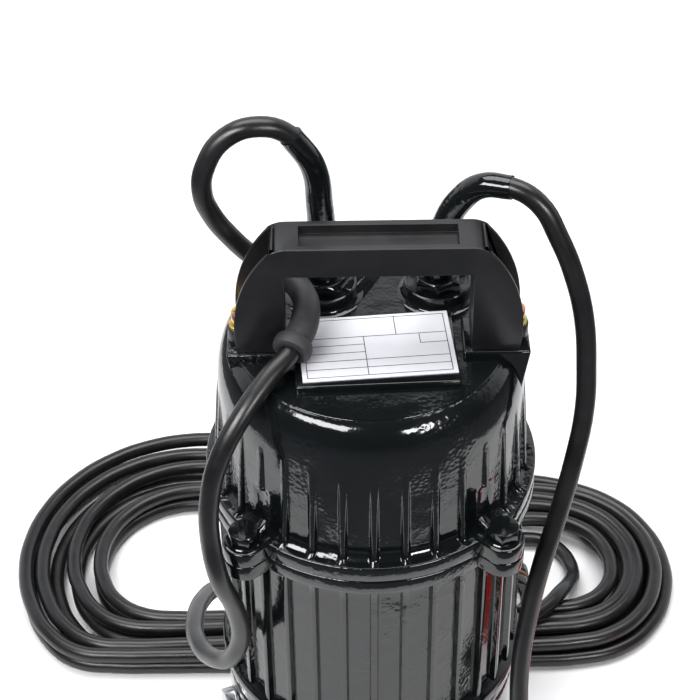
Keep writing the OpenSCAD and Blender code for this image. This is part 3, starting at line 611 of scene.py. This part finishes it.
@once
def plate_face():
    """Anodised aluminium sheet, fine lines along its length."""
    material, tree, where = blank("anodised_plate")
    run = add(tree, "Mapping", Vector=where, Scale=(0.06, 1, 1)).outputs["Vector"]
    lines = noise(tree, run, PLATE_LINES, 3.0)
    cloud = noise(tree, where, PLATE_CLOUDS, 4.0)
    shade(tree, Base_Color=tinted(tree, cloud, 0.3, 0.7, colours().plate, 0.93, 1.04),
          Metallic=0.25, Roughness=0.42, Normal=bumped(tree, lines, 0.12, 0.04))
    return material


@once
def plate_ink():
    """Screen-printed black ink."""
    material, tree, where = blank("screen_ink")
    wear = noise(tree, where, INK_WEAR, 3.0)
    tone = ramp(tree, wear, 0.35, 0.75, linear("#1a1a20"), linear("#44444c"))
    shade(tree, Base_Color=tone, Roughness=0.5)
    return material


@once
def gasket_fibre():
    """Compressed fibre sheet."""
    material, tree, where = blank("compressed_fibre")
    fleck = noise(tree, where, FIBRE_FLECKS, 4.0, 0.7)
    tone = ramp(tree, fleck, 0.3, 0.7, linear("#4a3526"), linear("#7b5a40"))
    shade(tree, Base_Color=tone, Roughness=0.85, Normal=bumped(tree, fleck, 0.5, 0.1))
    return material


# Lapped alumina of the seal's seat
lapped_ceramic = once(plastic, "lapped_alumina", linear("#e2dccf"), 0.6, 0.01, 0.14, 0.22)
# Lapped carbon of the seal's face
lapped_carbon = once(plastic, "lapped_carbon", linear("#303234"), 0.6, 0.01, 0.25, 0.35)


@once
def studio_floor():
    """White paper on grey: the enamel's lower half mirrors the paper, its upper half the grey."""
    material, tree, where = blank("white_paper_on_grey")
    split = add(tree, "SeparateXYZ", Vector=where).outputs
    flat = add(tree, "CombineXYZ", X=reckoned(tree, "MULTIPLY", split["X"], PAPER_STRETCH),
               Y=reckoned(tree, "MINIMUM", split["Y"], 0.0))
    away = add(tree, "VectorMath", {"operation": "LENGTH"})
    tree.links.new(flat.outputs["Vector"], away.inputs[0])
    # painted shade: the white floor turns mid-grey away from the pump, as if the paper fell into
    # shade in front of it
    edge = spread(tree, away.outputs["Value"], *PAINTED_SHADE_REACH, kind="SMOOTHSTEP")
    tone = ramp(tree, edge, 0.0, 1.0, linear("#f8f8f9"), linear("#5c5e62"))
    shade(tree, Base_Color=tone, Roughness=0.9, Specular_IOR_Level=0.1)
    return material


# ---------- castings made by rule ----------
def clamped(value):
    return min(max(value, 0.0), 1.0)


def eased(t):
    return t * t * (3 - 2 * t)


def between(start, end, t):
    return [a + (b - a) * t for a, b in zip(start, end)]


def rib_columns():
    """Angles round the case, closer together where a rib turns its corners."""
    half = RIB_STEP * PANEL_R / 2
    near = (0.8, 1.35, 1.7, 2.0, 2.5, 3.1, 4.6)
    offsets = (*[-o for o in reversed(near)], 0.0, *near, half)
    return [i * RIB_STEP + o / PANEL_R for i in range(RIB_COUNT) for o in offsets]


def rib_share(angle, flank=1.1):
    """1 on a rib's face, 0 on the panels, with a flank that wide between them."""
    off = abs((angle + RIB_STEP / 2) % RIB_STEP - RIB_STEP / 2) * PANEL_R
    return eased(clamped((RIB_HALF + flank / 2 - off) / flank))


def flat_panel(radius, angle):
    """Radius of a flat panel between two ribs."""
    return radius / math.cos(angle % RIB_STEP - RIB_STEP / 2)


def soft_max(a, b, blend):
    """The larger of two values, rounded over where they are about equal."""
    t = clamped(0.5 + (a - b) / (2 * blend))
    return b + (a - b) * t + blend * t * (1 - t)


def nearest_bolt(angle):
    """Angle to the nearest bolt."""
    return min(abs((angle - math.radians(b) + math.pi) % math.tau - math.pi) for b in BOLT_ANGLES)


def flange_radius(angle):
    """Outline of a joint flange: a circle with four ears."""
    off = nearest_bolt(angle)
    if FLANGE_R * math.sin(off) > BOSS_R + 0.2:
        return FLANGE_R
    side = min(BOLT_CIRCLE_R * math.sin(off), BOSS_R)
    ear = BOLT_CIRCLE_R * math.cos(off) + math.sqrt(BOSS_R ** 2 - side ** 2)
    return soft_max(FLANGE_R, ear, 1.2)


def notch_limit(angle):
    """How far out the wall may stand beside a bolt's head, or no limit away from one."""
    off = nearest_bolt(angle)
    side = BOLT_CIRCLE_R * math.sin(off)
    if side >= NOTCH_R:
        return math.inf
    return BOLT_CIRCLE_R * math.cos(off) - math.sqrt(NOTCH_R ** 2 - side ** 2)


def wrapped(name, columns, rows, place):
    """A grid wrapped round the shaft's axis: place(angle, row) gives radius and height."""
    deselect()
    bpy.ops.mesh.primitive_grid_add(x_subdivisions=len(columns), y_subdivisions=len(rows) - 1,
                                    size=1)
    obj = named(name)
    mesh = obj.data
    wide = len(columns) + 1
    for vertex in mesh.vertices:
        column, row = vertex.index % wide, vertex.index // wide
        angle = columns[column % len(columns)]
        radius, height = place(angle, rows[row])
        vertex.co = mm(radius * math.cos(angle), radius * math.sin(angle), height)
    return outward(obj)


def bezier(start, bend, end, t):
    return tuple((1 - t) ** 2 * a + 2 * t * (1 - t) * b + t * t * c
                 for a, b, c in zip(start, bend, end))


def cover_wall():
    """The cover's ribbed wall, its shoulder and its flat top, in one skin."""
    rows = [("wall", i / 26) for i in range(27)]
    rows += [("shoulder", i / 14) for i in range(1, 15)]
    rows += [("edge", i / 3) for i in range(1, 4)] + [("top", i / 5) for i in range(1, 6)]

    def place(angle, row):
        kind, t = row
        if kind == "wall":
            z = LEDGE_Z - WALL_SINK + (NECK_Z - LEDGE_Z + WALL_SINK) * t
            panel = flat_panel(PANEL_MIDDLE_R + (NECK_R - PANEL_MIDDLE_R) * t, angle)
            panel = panel * (1 - t ** 6) + NECK_R * t ** 6
            foot = max(0.0, 1 - (z - LEDGE_Z) / 3.0)
            rib = (RIB_OUT + 0.2) * (1 - t) ** 0.9
            radius = panel + rib * rib_share(angle) + 2.6 * foot ** 2.2
            if z < LEDGE_Z + NOTCH_TOP and foot == 0.0:
                radius = min(radius, notch_limit(angle))
            return radius, z
        if kind == "shoulder":
            bend = (NECK_R - 0.3, TOP_Z - 5.8)
            return bezier((NECK_R, NECK_Z), bend, (PLATEAU_R, TOP_Z - EDGE_R), t)
        if kind == "edge":
            turn = t * math.pi / 2
            return PLATEAU_R - EDGE_R * math.sin(turn), TOP_Z - EDGE_R * math.cos(turn)
        return (PLATEAU_R - EDGE_R) * (1 - t), TOP_Z

    return wrapped("cover_wall", rib_columns(), rows, place)


def joint_flange(name, low, high, inner):
    """A flange with four ears, its edges rounded."""
    rows = [(inner, low, 0), (-0.5, low, 1), (-0.15, low + 0.15, 1), (0, low + 0.5, 1),
            (0, high - EDGE_R, 1), (-EDGE_R * 0.3, high - EDGE_R * 0.3, 1), (-EDGE_R, high, 1),
            (inner, high, 0)]
    columns = [math.radians(i * 0.75) for i in range(480)]

    def place(angle, row):
        radius, height, outer = row
        return (flange_radius(angle) + radius if outer else radius), height

    return wrapped(name, columns, rows, place)


def motor_wall():
    """The motor body's ribbed wall with flat panels."""
    top = JOINT_Z - FLANGE_T
    foot = MOTOR_Z + 4
    rows = [(0, MOTOR_Z + 0.01), (1, MOTOR_Z + 0.01), (1, foot)]
    rows += [(1, foot + (top - foot) * i / 20) for i in range(1, 21)]
    rows += [(1, top + 1), (0, top + 1)]

    def place(angle, row):
        outer, height = row
        if not outer:
            return BODY_BORE_R, height
        radius = flat_panel(PANEL_MIDDLE_R, angle)
        near = clamped(1 - abs(top - height) / 2.2)
        return radius + RIB_OUT * rib_share(angle, 0.6) + 1.6 * near ** 2, height

    return wrapped("motor_wall", rib_columns(), rows, place)


def rounded_slab(name, low, high, corner, edge):
    """A low block with rounded corners in plan and soft top edges."""
    obj = block(name, low, high)
    take(obj)
    bpy.ops.object.mode_set(mode="EDIT")
    mesh = bmesh.from_edit_mesh(obj.data)
    for item in mesh.edges:
        a, b = (v.co for v in item.verts)
        item.select = abs(a.z - b.z) > 0.0005
    bmesh.update_edit_mesh(obj.data)
    bpy.ops.mesh.bevel(offset=corner * MM, segments=10, affect="EDGES")
    bpy.ops.object.mode_set(mode="OBJECT")
    return bevel(obj, edge, 3, 50)


# ---------- pieces ----------
def make_stage():
    deselect()
    bpy.ops.mesh.primitive_plane_add(size=FLOOR_SIZE, location=(0, 0, -FLOOR_DROP))
    floor = named("studio_floor")
    settle(floor)
    floor.data.materials.append(studio_floor())

    bpy.ops.object.camera_add(location=CAMERA_AT)
    camera = named("camera")
    aim = Vector(CAMERA_AIM) - camera.location
    roll = Matrix.Rotation(math.radians(CAMERA_ROLL), 4, "Z").to_quaternion()
    camera.rotation_mode = "QUATERNION"
    camera.rotation_quaternion = aim.to_track_quat("-Z", "Y") @ roll
    camera.data.lens, camera.data.sensor_width = CAMERA_LENS, CAMERA_SENSOR
    camera.data.clip_start, camera.data.clip_end = 0.01, 50
    bpy.context.scene.camera = camera

    # the room is dark but for a pale backdrop that stands behind the pump
    world = bpy.data.worlds.new("studio")
    bpy.context.scene.world = world
    world.use_nodes = True
    tree = world.node_tree
    tree.nodes.clear()
    way = add(tree, "TexCoord").outputs["Generated"]
    split = add(tree, "SeparateXYZ", Vector=way).outputs
    height = spread(tree, split["Z"], 0.6, 0.7, 1.0, 0.0, "SMOOTHSTEP")
    behind = spread(tree, split["Y"], -0.2, 0.5, kind="SMOOTHSTEP")
    glow = reckoned(tree, "MULTIPLY", height, behind)
    level = spread(tree, glow, 0.0, 1.0, DARK_ROOM, BACKDROP)
    light = add(tree, "Background", Color=(*linear("#f4f6fa"), 1), Strength=level)
    out = add(tree, "OutputWorld")
    tree.links.new(light.outputs["Background"], out.inputs["Surface"])
    bpy.context.scene.view_settings.view_transform = "Standard"

    for box in SOFT_BOXES:
        soft_box(*box)


def soft_box(name, at, towards, wide, tall, power):
    deselect()
    bpy.ops.object.light_add(type="AREA", location=at)
    lamp = named(name)
    lamp.data.shape = "RECTANGLE"
    lamp.data.size, lamp.data.size_y = wide, tall
    lamp.data.energy = power
    lamp.rotation_mode = "QUATERNION"
    lamp.rotation_quaternion = (Vector(towards) - Vector(at)).to_track_quat("-Z", "Y")


def coil_outline(share, count=240):
    """One turn of the coil round its two lobes; share is 0 inside and 1 outside."""
    (ax, ay, ar, aw), (bx, by, br, bw) = COIL_LEFT, COIL_RIGHT
    ra, rb = ar + aw * share, br + bw * share
    run = math.hypot(bx - ax, by - ay)
    aim = math.atan2(by - ay, bx - ax)
    lean = math.acos((ra - rb) / run)
    left = [aim + lean + (math.tau - 2 * lean) * i / 60 for i in range(61)]
    right = [aim - lean + 2 * lean * i / 40 for i in range(41)]
    loop = [(ax + ra * math.cos(a), ay + ra * math.sin(a)) for a in left]
    loop += [(bx + rb * math.cos(a), by + rb * math.sin(a)) for a in right]
    loop.append(loop[0])
    steps = [math.dist(p, q) for p, q in zip(loop, loop[1:])]
    whole = sum(steps)
    points, gone, i = [], 0.0, 0
    for n in range(count):
        wanted = whole * n / count
        while gone + steps[i] < wanted:
            gone += steps[i]
            i += 1
        points.append(between(loop[i], loop[i + 1], (wanted - gone) / steps[i]))
    # the turn starts where the right lobe meets the straight behind it
    start = min(range(count), key=lambda n: math.dist(points[n], loop[-2]))
    points = points[start:] + points[:start]
    floor = COIL_FRONT[0] - COIL_FRONT[1] * share
    for p in points:
        p[1] = floor + COIL_BEND * math.log1p(math.exp(min((p[1] - floor) / COIL_BEND, 40)))
    return points


def coil_points():
    """Two layers of turns, wound outwards and back, a little uneven."""
    points = []
    total = int((COIL_TURNS - COIL_START) * POINTS_PER_TURN)
    half = COIL_TURNS / 2
    for n in range(total + 1):
        turn = COIL_START + (COIL_TURNS - COIL_START) * n / total
        if turn < half:
            share = turn / half
            sway = 0.03 * math.sin(turn * math.tau * 0.73)
        else:
            share = 2 - turn / half
            sway = 0.075 * math.sin(turn * math.tau * 1.31 + 0.7)
        share = clamped(share + sway * math.sin(clamped(share) * math.pi))
        lift = eased(clamped((turn - half + 0.15) / 0.3))
        loop = coil_outline(share)
        place = (turn % 1.0) * len(loop)
        i = int(place)
        flat = between(loop[i % len(loop)], loop[(i + 1) % len(loop)], place % 1.0)
        points.append((*flat, CORD_D / 2 + LAYER_LIFT * lift))
    return points


def round_curve(name, points, depth, steps, sides, radii=None):
    """A round curve along points, depth thick in millimetres times each point's own radius."""
    data = bpy.data.curves.new(name, "CURVE")
    data.dimensions = "3D"
    data.resolution_u = steps
    data.bevel_depth = depth * MM
    data.bevel_resolution = sides
    data.use_fill_caps = True
    line = data.splines.new("BEZIER")
    line.bezier_points.add(len(points) - 1)
    for knot, point, radius in zip(line.bezier_points, points, radii or [1.0] * len(points)):
        knot.co = mm(*point)
        knot.radius = radius
        knot.handle_left_type = knot.handle_right_type = "AUTO"
    return placed(name, data)


def cord_curve(name, points, material):
    """A round lead along points, in millimetres."""
    lead = round_curve(name, points, CORD_D / 2, 5, 6)
    lead.data.materials.append(material)
    return lead


def make_mains_lead():
    points = MAINS_ROUTE + coil_points() + TAIL_ROUTE
    lead = cord_curve("mains_lead_full", points, cord_rubber())
    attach(lead, "pump")
    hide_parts("mains_lead", "mains_coil", "mains_tail")


def make_float_lead():
    lead = cord_curve("float_lead_full", FLOAT_ROUTE, cord_rubber())
    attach(lead, "pump")
    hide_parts("float_lead")


def swept(name, points, radii):
    """A tapered tube along points, made a mesh."""
    take(round_curve(name, points, 1.0, 8, 8, radii))
    bpy.ops.object.convert(target="MESH")
    return smooth(outward(named(name)), 50)


def make_sleeves():
    foot, tip = CORD_D / 2 + SLEEVE_WALLS[0], CORD_D / 2 + SLEEVE_WALLS[1]
    for name, node, route, count in (("mains_sleeve_moulding", "mains_sleeve", MAINS_ROUTE, 5),
                                     ("float_sleeve_moulding", "float_sleeve", FLOAT_ROUTE, 6)):
        points = route[:count]
        radii = [foot + (tip - foot) * i / (count - 1) for i in range(count)]
        sleeve = swept(name, points, radii)
        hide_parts(node)
        finish_with(sleeve, enamel())


def make_lead_bush():
    tip, rise, bend, foot = [Vector(point) for point in MAINS_ROUTE[12:16]]
    end = foot + (bend - foot) * 0.12
    body = swept("lead_bush_moulding", [tip, rise, bend, end],
                 [CORD_D / 2 + wall for wall in (0.9, 1.1, 1.7, 2.0)])
    along = (foot - bend).normalized()
    collar = lathe("collar", [
        (4.6, -3.2), (7.2, -3.2), (8.0, -2.9), (8.55, -1.6), (8.7, 0), (8.6, 1.4), (8.1, 2.6),
        (7.2, 3.0), (5.0, 3.1), (4.6, 2.9), (4.6, -3.2)], steps=48)
    turn = along.to_track_quat("Z", "Y").to_matrix().to_4x4()
    collar.data.transform(Matrix.Translation((foot - along * 2.2) * MM) @ turn)
    bush = join(body.name, body, collar)
    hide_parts("lead_bush")
    finish_with(bush, bush_rubber())


def make_plug():
    body = lathe("plug_moulding", [
        (0, 0), (5.4, 0), (5.9, 1.5), (6.3, 4), (7.0, 9), (8.2, 14), (10.2, 17.5), (13.6, 20),
        (17.0, 22.5), (18.8, 25.5), (19.4, 29), (19.5, 34), (19.5, 48.5), (19.1, 50.5),
        (18.3, 51.6), (16.5, 52), (0, 52)])
    flutes, deep = 16, 0.7 * MM
    for vertex in body.data.vertices:  # grip flutes round the shoulder
        if vertex.co.xy.length > 0.012 and 0.022 < vertex.co.z < 0.035:
            a = math.atan2(vertex.co.y, vertex.co.x)
            dip = deep * max(0.0, math.cos(a * flutes))
            vertex.co.x -= dip * math.cos(a)
            vertex.co.y -= dip * math.sin(a)
    for side in (-1, 1):  # earth contact slots
        tool = block("slot", (side * 19.5 - 2.2, -4, 35), (side * 19.5 + 2.2, 4, 60))
        drill(body, tool)
    lie_down = Matrix.Rotation(-math.pi / 2, 4, "Y")
    body.data.transform(Matrix.Translation(mm(*PLUG_AT)) @ lie_down)
    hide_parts("plug_body")
    finish_with(smooth(body, 30), cord_rubber())
    refinish("plug_pins", bearing_steel())


def make_cover():
    wall = cover_wall()
    ring = joint_flange("cover_ring", JOINT_Z + SKIN_GAP, LEDGE_Z, 64.0)
    parts = [ring]
    top = RIM_TOP_Z
    for i, (x, y) in enumerate(GLAND_AT):
        boss = lathe(f"gland_boss_{i}", [
            (0, TOP_Z - 6), (18.4, TOP_Z - 6), (18.2, TOP_Z - 0.1), (16.6, TOP_Z + 0.35),
            (15.7, TOP_Z + 1.3), (15.25, TOP_Z + 3), (15.15, top - 0.9), (14.95, top - 0.3),
            (14.4, top), (13.9, top - 0.25), (13.75, top - 0.9), (13.6, top - 1.7),
            (13.1, top - 2.05), (9.2, top - 2.05), (9.2, top - 8), (0, top - 8)], at=(x, y, 0))
        parts.append(boss)
    arm = rounded_slab("cable_arm", (0, -14.9, TOP_Z - 4), (29, -8.2, top - 1.2), 2.5, 1.1)
    parts.append(shift(arm, *GLAND_AT[0], turn=62))
    seat = FOOT_Z - 0.05  # just under the handle's foot and the plate
    inner, outer, deep = 36.5, 65.5, 12.3
    for side in (-1, 1):
        low, high = sorted((side * inner, side * outer))
        lug = rounded_slab(f"handle_lug_{side}", (low, -deep, TOP_Z - 19), (high, deep, seat),
                           8, 1.0)
        for vertex in lug.data.vertices:  # its foot leans into the wall
            if vertex.co.z < (TOP_Z - 10) * MM:
                far_out = vertex.co.x * side > outer * 0.8 * MM
                vertex.co += mm(-6 * side if far_out else 0, 0, -28)
                vertex.co.y *= 0.6
        parts.append(shift(lug, TOP_SHIFT, HANDLE_Y))
    pad = rounded_slab("plate_pad", (-35, -23, TOP_Z - 3), (35, 23, seat), 1.6, 0.9)
    parts.append(shift(pad, TOP_SHIFT - 1.5, -18, turn=2.4))
    cover = smooth(join("cover_casting", wall, *parts), 50)
    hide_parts("top_cover")
    finish_with(cover, enamel())


def make_motor_body():
    wall = motor_wall()
    ring = joint_flange("body_ring", JOINT_Z - FLANGE_T, JOINT_Z - SKIN_GAP, 63.0)
    foot = lathe("body_foot", [
        (60, 0), (73.2, 0), (73.8, 0.6), (74, 1.4), (74, 5.6), (73.4, 6.6), (72.4, 7.2),
        (70.6, 8.4), (69.6, 10.2), (60, 10.2), (60, 0)], at=(0, 0, MOTOR_Z), steps=192)
    body = smooth(join("motor_casting", wall, ring, foot), 50)
    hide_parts("motor_body")
    finish_with(body, enamel())


def hex_head(name, across, height):
    """A bolt's head with chamfered corners, standing on z = 0."""
    head = rod(name, across / 2 / math.cos(math.pi / 6), (0, 0, 0), (0, 0, height), vertices=6)
    cone = rod("chamfer", across * 0.92, (0, 0, -across * 0.34), (0, 0, height + 0.01),
               vertices=64, top_radius=across * 0.49)
    modify(head, "BOOLEAN", operation="INTERSECT", solver="EXACT", object=cone)
    bpy.data.objects.remove(cone)
    return bevel(head, 0.35, 3, 25)


def make_cover_bolts():
    heads, rings = [], []
    thick = 1.6
    for i, angle in enumerate(BOLT_ANGLES):
        a = math.radians(angle)
        x, y = BOLT_CIRCLE_R * math.cos(a), BOLT_CIRCLE_R * math.sin(a)
        head = hex_head(f"bolt_{i}", 13, 5.3)
        heads.append(shift(head, x, y, LEDGE_Z + thick, turn=17 + 31 * i))
        rings.append(lathe(f"washer_{i}", [
            (4.3, 0), (7.7, 0), (8, 0.3), (8, 1.2), (7.6, thick), (4.3, thick), (4.3, 0)],
            at=(x, y, LEDGE_Z), steps=48))
    bolts = join("joint_bolts", *heads)
    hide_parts("cover_bolts")
    finish_with(bolts, enamel())
    washers = join("joint_washers", *rings)
    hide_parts("cover_washers")
    finish_with(washers, enamel())


def make_glands():
    nuts = []
    for i, (place, turn) in enumerate(zip(GLAND_AT, (30, 0))):
        nut = hex_head(f"gland_nut_{i}", 19.05, 5.8)
        drill(nut, rod("bore", CORD_D / 2 + 2.2, (0, 0, -1), (0, 0, 9)))
        shift(nut, *place, RIM_TOP_Z - 2.0, turn)
        nuts.append(smooth(nut, 30))
    nuts = join("gland_nuts_sprayed", *nuts)
    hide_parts("gland_nuts")
    finish_with(nuts, enamel())


def make_rating_plate():
    wide, deep, thick = 66.5, 41.0, 0.8
    plate = rounded_slab("rating_plate_sheet", (-wide / 2, -deep / 2, 0),
                         (wide / 2, deep / 2, thick), 0.6, 0.18)
    right, high = wide / 2 - 2.2, deep / 2 - 1.9
    left, low = -right, -high
    rows = [low + (high - low) * t for t in (0.135, 0.27, 0.405, 0.54, 0.675)]
    middle, corner, mark = [left + (right - left) * t for t in (0.42, 0.65, 0.81)]
    step = rows[3] - 1.4
    bars = [(left, low, right, low), (left, high, right, high),
            (left, low, left, high), (right, low, right, high)]
    bars += [(left, y, middle, y) for y in rows]
    bars += [(middle, rows[4], right, rows[4]), (middle, low, middle, rows[4]),
             (corner, rows[4], corner, high), (middle, rows[0], right, rows[0]),
             (middle, rows[1], right, rows[1]), (mark, step, right, step),
             (mark, step, mark, rows[4])]
    half = 0.18  # half a printed line's width
    low, high = thick - 0.1, thick + 0.03
    lines = [block(f"rule_{i}", (x0 - half, y0 - half, low), (x1 + half, y1 + half, high))
             for i, (x0, y0, x1, y1) in enumerate(bars)]
    rules = join("rating_plate_rules", *lines)
    for piece in (plate, rules):
        shift(piece, TOP_SHIFT - 1, -16.6, FOOT_Z, turn=4.5)
    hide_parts("rating_plate")
    finish_with(plate, plate_face())
    finish_with(rules, plate_ink())


def make_handle():
    handle = node_copy("handle", "handle_moulding")
    take(handle)
    bpy.ops.object.mode_set(mode="EDIT")
    bpy.ops.mesh.select_all(action="DESELECT")
    mesh = bmesh.from_edit_mesh(handle.data)
    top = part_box("handle")[1].z
    for edge in mesh.edges:  # the grip's outer corners, which run front to back
        a, b = (v.co for v in edge.verts)
        outside = abs((a.x + b.x) / 2 - TOP_SHIFT * MM) > 0.037
        on_top = min(a.z, b.z) > top - 0.0002
        edge.select = outside and on_top and abs(a.y - b.y) > 0.001 and abs(a.x - b.x) < 0.0002
    bmesh.update_edit_mesh(handle.data)
    bpy.ops.mesh.bevel(offset=5 * MM, segments=6, affect="EDGES")
    bpy.ops.object.mode_set(mode="OBJECT")
    bevel(handle, sizes().edge_radius / MM, 4, 40)
    finish_with(handle, handle_plastic())


def make_handle_screws():
    screws = machined_copy("handle_screws", "handle_screws_zinc", 0.35)
    finish_with(screws, yellow_zinc())
    washers = machined_copy("handle_washers", "handle_washers_zinc", 0.25)
    finish_with(washers, yellow_zinc())


def make_castings():
    for node in ("volute_casing", "suction_plate", "hose_elbow", "oil_chamber", "bearing_bracket"):
        casting = cast_copy(node, node + "_casting")
        finish_with(casting, enamel())


def make_strainer():
    strainer = bevel(node_copy("strainer", "strainer_moulding"), 0.5, 2, 40)
    finish_with(strainer, strainer_plastic())


def make_fasteners():
    for node in ("elbow_screws", "oil_plug", "case_bolts", "strainer_screws"):
        piece = machined_copy(node, node + "_finished", 0.3)
        finish_with(piece, bright_zinc())
    gasket = machined_copy("discharge_gasket", "discharge_gasket_finished", 0.3)
    finish_with(gasket, gasket_fibre())


def make_float():
    for half in ("upper", "lower"):
        shell = node_copy(f"float_{half}_shell", f"float_case_{half}")
        bevel(shell, 4.0, 5, 60)
        finish_with(shell, float_plastic(), body="float")
    boot = bevel(node_copy("float_boot", "float_boot_moulding"), 0.5, 3, 40)
    finish_with(boot, cord_rubber(), body="float")


def make_inner_parts():
    finishes = {
        seal_rubber: ("cover_seal", "gland_seals"),
        core_steel: ("stator_core", "rotor_core"),
        winding_copper: ("upper_winding", "lower_winding"),
        cast_aluminium: ("upper_bearing_plate", "rotor_end_rings"),
        bearing_steel: ("bearing_outer_rings", "bearing_inner_rings", "bearing_balls",
                        "float_ball"),
        can_plastic: ("capacitor",),
        bright_zinc: ("capacitor_clip", "impeller_nut"),
        cream_plastic: ("terminal_block", "float_switch_cell"),
        dark_plastic: ("thermal_cutout",),
        yellow_zinc: ("earth_screw",),
        lapped_ceramic: ("seal_seat",),
        lapped_carbon: ("seal_face",),
        ground_steel: ("shaft", "impeller_key"),
        cast_bronze: ("impeller",),
    }
    for maker, nodes in finishes.items():
        for node in nodes:
            refinish(node, maker())


# ---------- operators ----------
def operator(key, label, words, build):
    """An operator class that makes one piece or one group of like pieces."""
    def execute(self, context):
        build()
        return {"FINISHED"}
    return type("PUMP_OT_" + key, (bpy.types.Operator,), {
        "__doc__": words, "bl_idname": "pump." + key, "bl_label": label, "execute": execute})


OPERATORS = [
    operator("stage", "Stage", "Make the floor, the camera and the soft boxes", make_stage),
    operator("sleeves", "Lead sleeves", "Make the tapered sleeves on the glands", make_sleeves),
    operator("lead_bush", "Loose bush", "Make the rubber bush on the mains lead", make_lead_bush),
    operator("plug", "Mains plug", "Make the plug and finish its pins", make_plug),
    operator("float", "Float", "Make the float's case and boot", make_float),
    operator("mains_lead", "Mains lead", "Make the mains lead and its coil", make_mains_lead),
    operator("float_lead", "Float lead", "Make the float's lead", make_float_lead),
    operator("cover", "Top cover", "Make the ribbed top cover", make_cover),
    operator("motor_body", "Motor body", "Make the ribbed motor body", make_motor_body),
    operator("cover_bolts", "Joint bolts", "Make the bolts and washers of the joint",
             make_cover_bolts),
    operator("glands", "Gland nuts", "Make the gland nuts", make_glands),
    operator("rating_plate", "Rating plate", "Make the rating plate and its rules",
             make_rating_plate),
    operator("handle", "Handle", "Make the moulded handle", make_handle),
    operator("handle_screws", "Handle screws", "Make the handle's screws and washers",
             make_handle_screws),
    operator("castings", "Pump castings", "Make the castings below the motor", make_castings),
    operator("strainer", "Strainer", "Make the slotted strainer", make_strainer),
    operator("fasteners", "Fasteners", "Make the screws, bolts and gasket", make_fasteners),
    operator("inner_parts", "Inner parts", "Give the inner parts their finishes",
             make_inner_parts),
]


class PUMP_PT_pieces(bpy.types.Panel):
    """Lists the pump's sizes, colours and pieces."""
    bl_idname = "PUMP_PT_pieces"
    bl_label = "Sump Pump"
    bl_space_type = "VIEW_3D"
    bl_region_type = "UI"
    bl_category = "Pump"

    def draw(self, context):
        for group in (context.scene.pump_sizes, context.scene.pump_colours):
            for name in group.__annotations__:
                self.layout.prop(group, name)
        for item in OPERATORS:
            self.layout.operator(item.bl_idname)


CLASSES = [PumpColours, PumpSizes, *OPERATORS, PUMP_PT_pieces]


def register():
    for item in CLASSES:
        bpy.utils.register_class(item)
    bpy.types.Scene.pump_colours = bpy.props.PointerProperty(type=PumpColours)
    bpy.types.Scene.pump_sizes = bpy.props.PointerProperty(type=PumpSizes)


def unregister():
    del bpy.types.Scene.pump_sizes
    del bpy.types.Scene.pump_colours
    for item in reversed(CLASSES):
        bpy.utils.unregister_class(item)


def main():
    register()
    for item in OPERATORS:
        getattr(bpy.ops.pump, item.bl_idname.split(".")[1])()


if __name__ == "__main__":
    main()
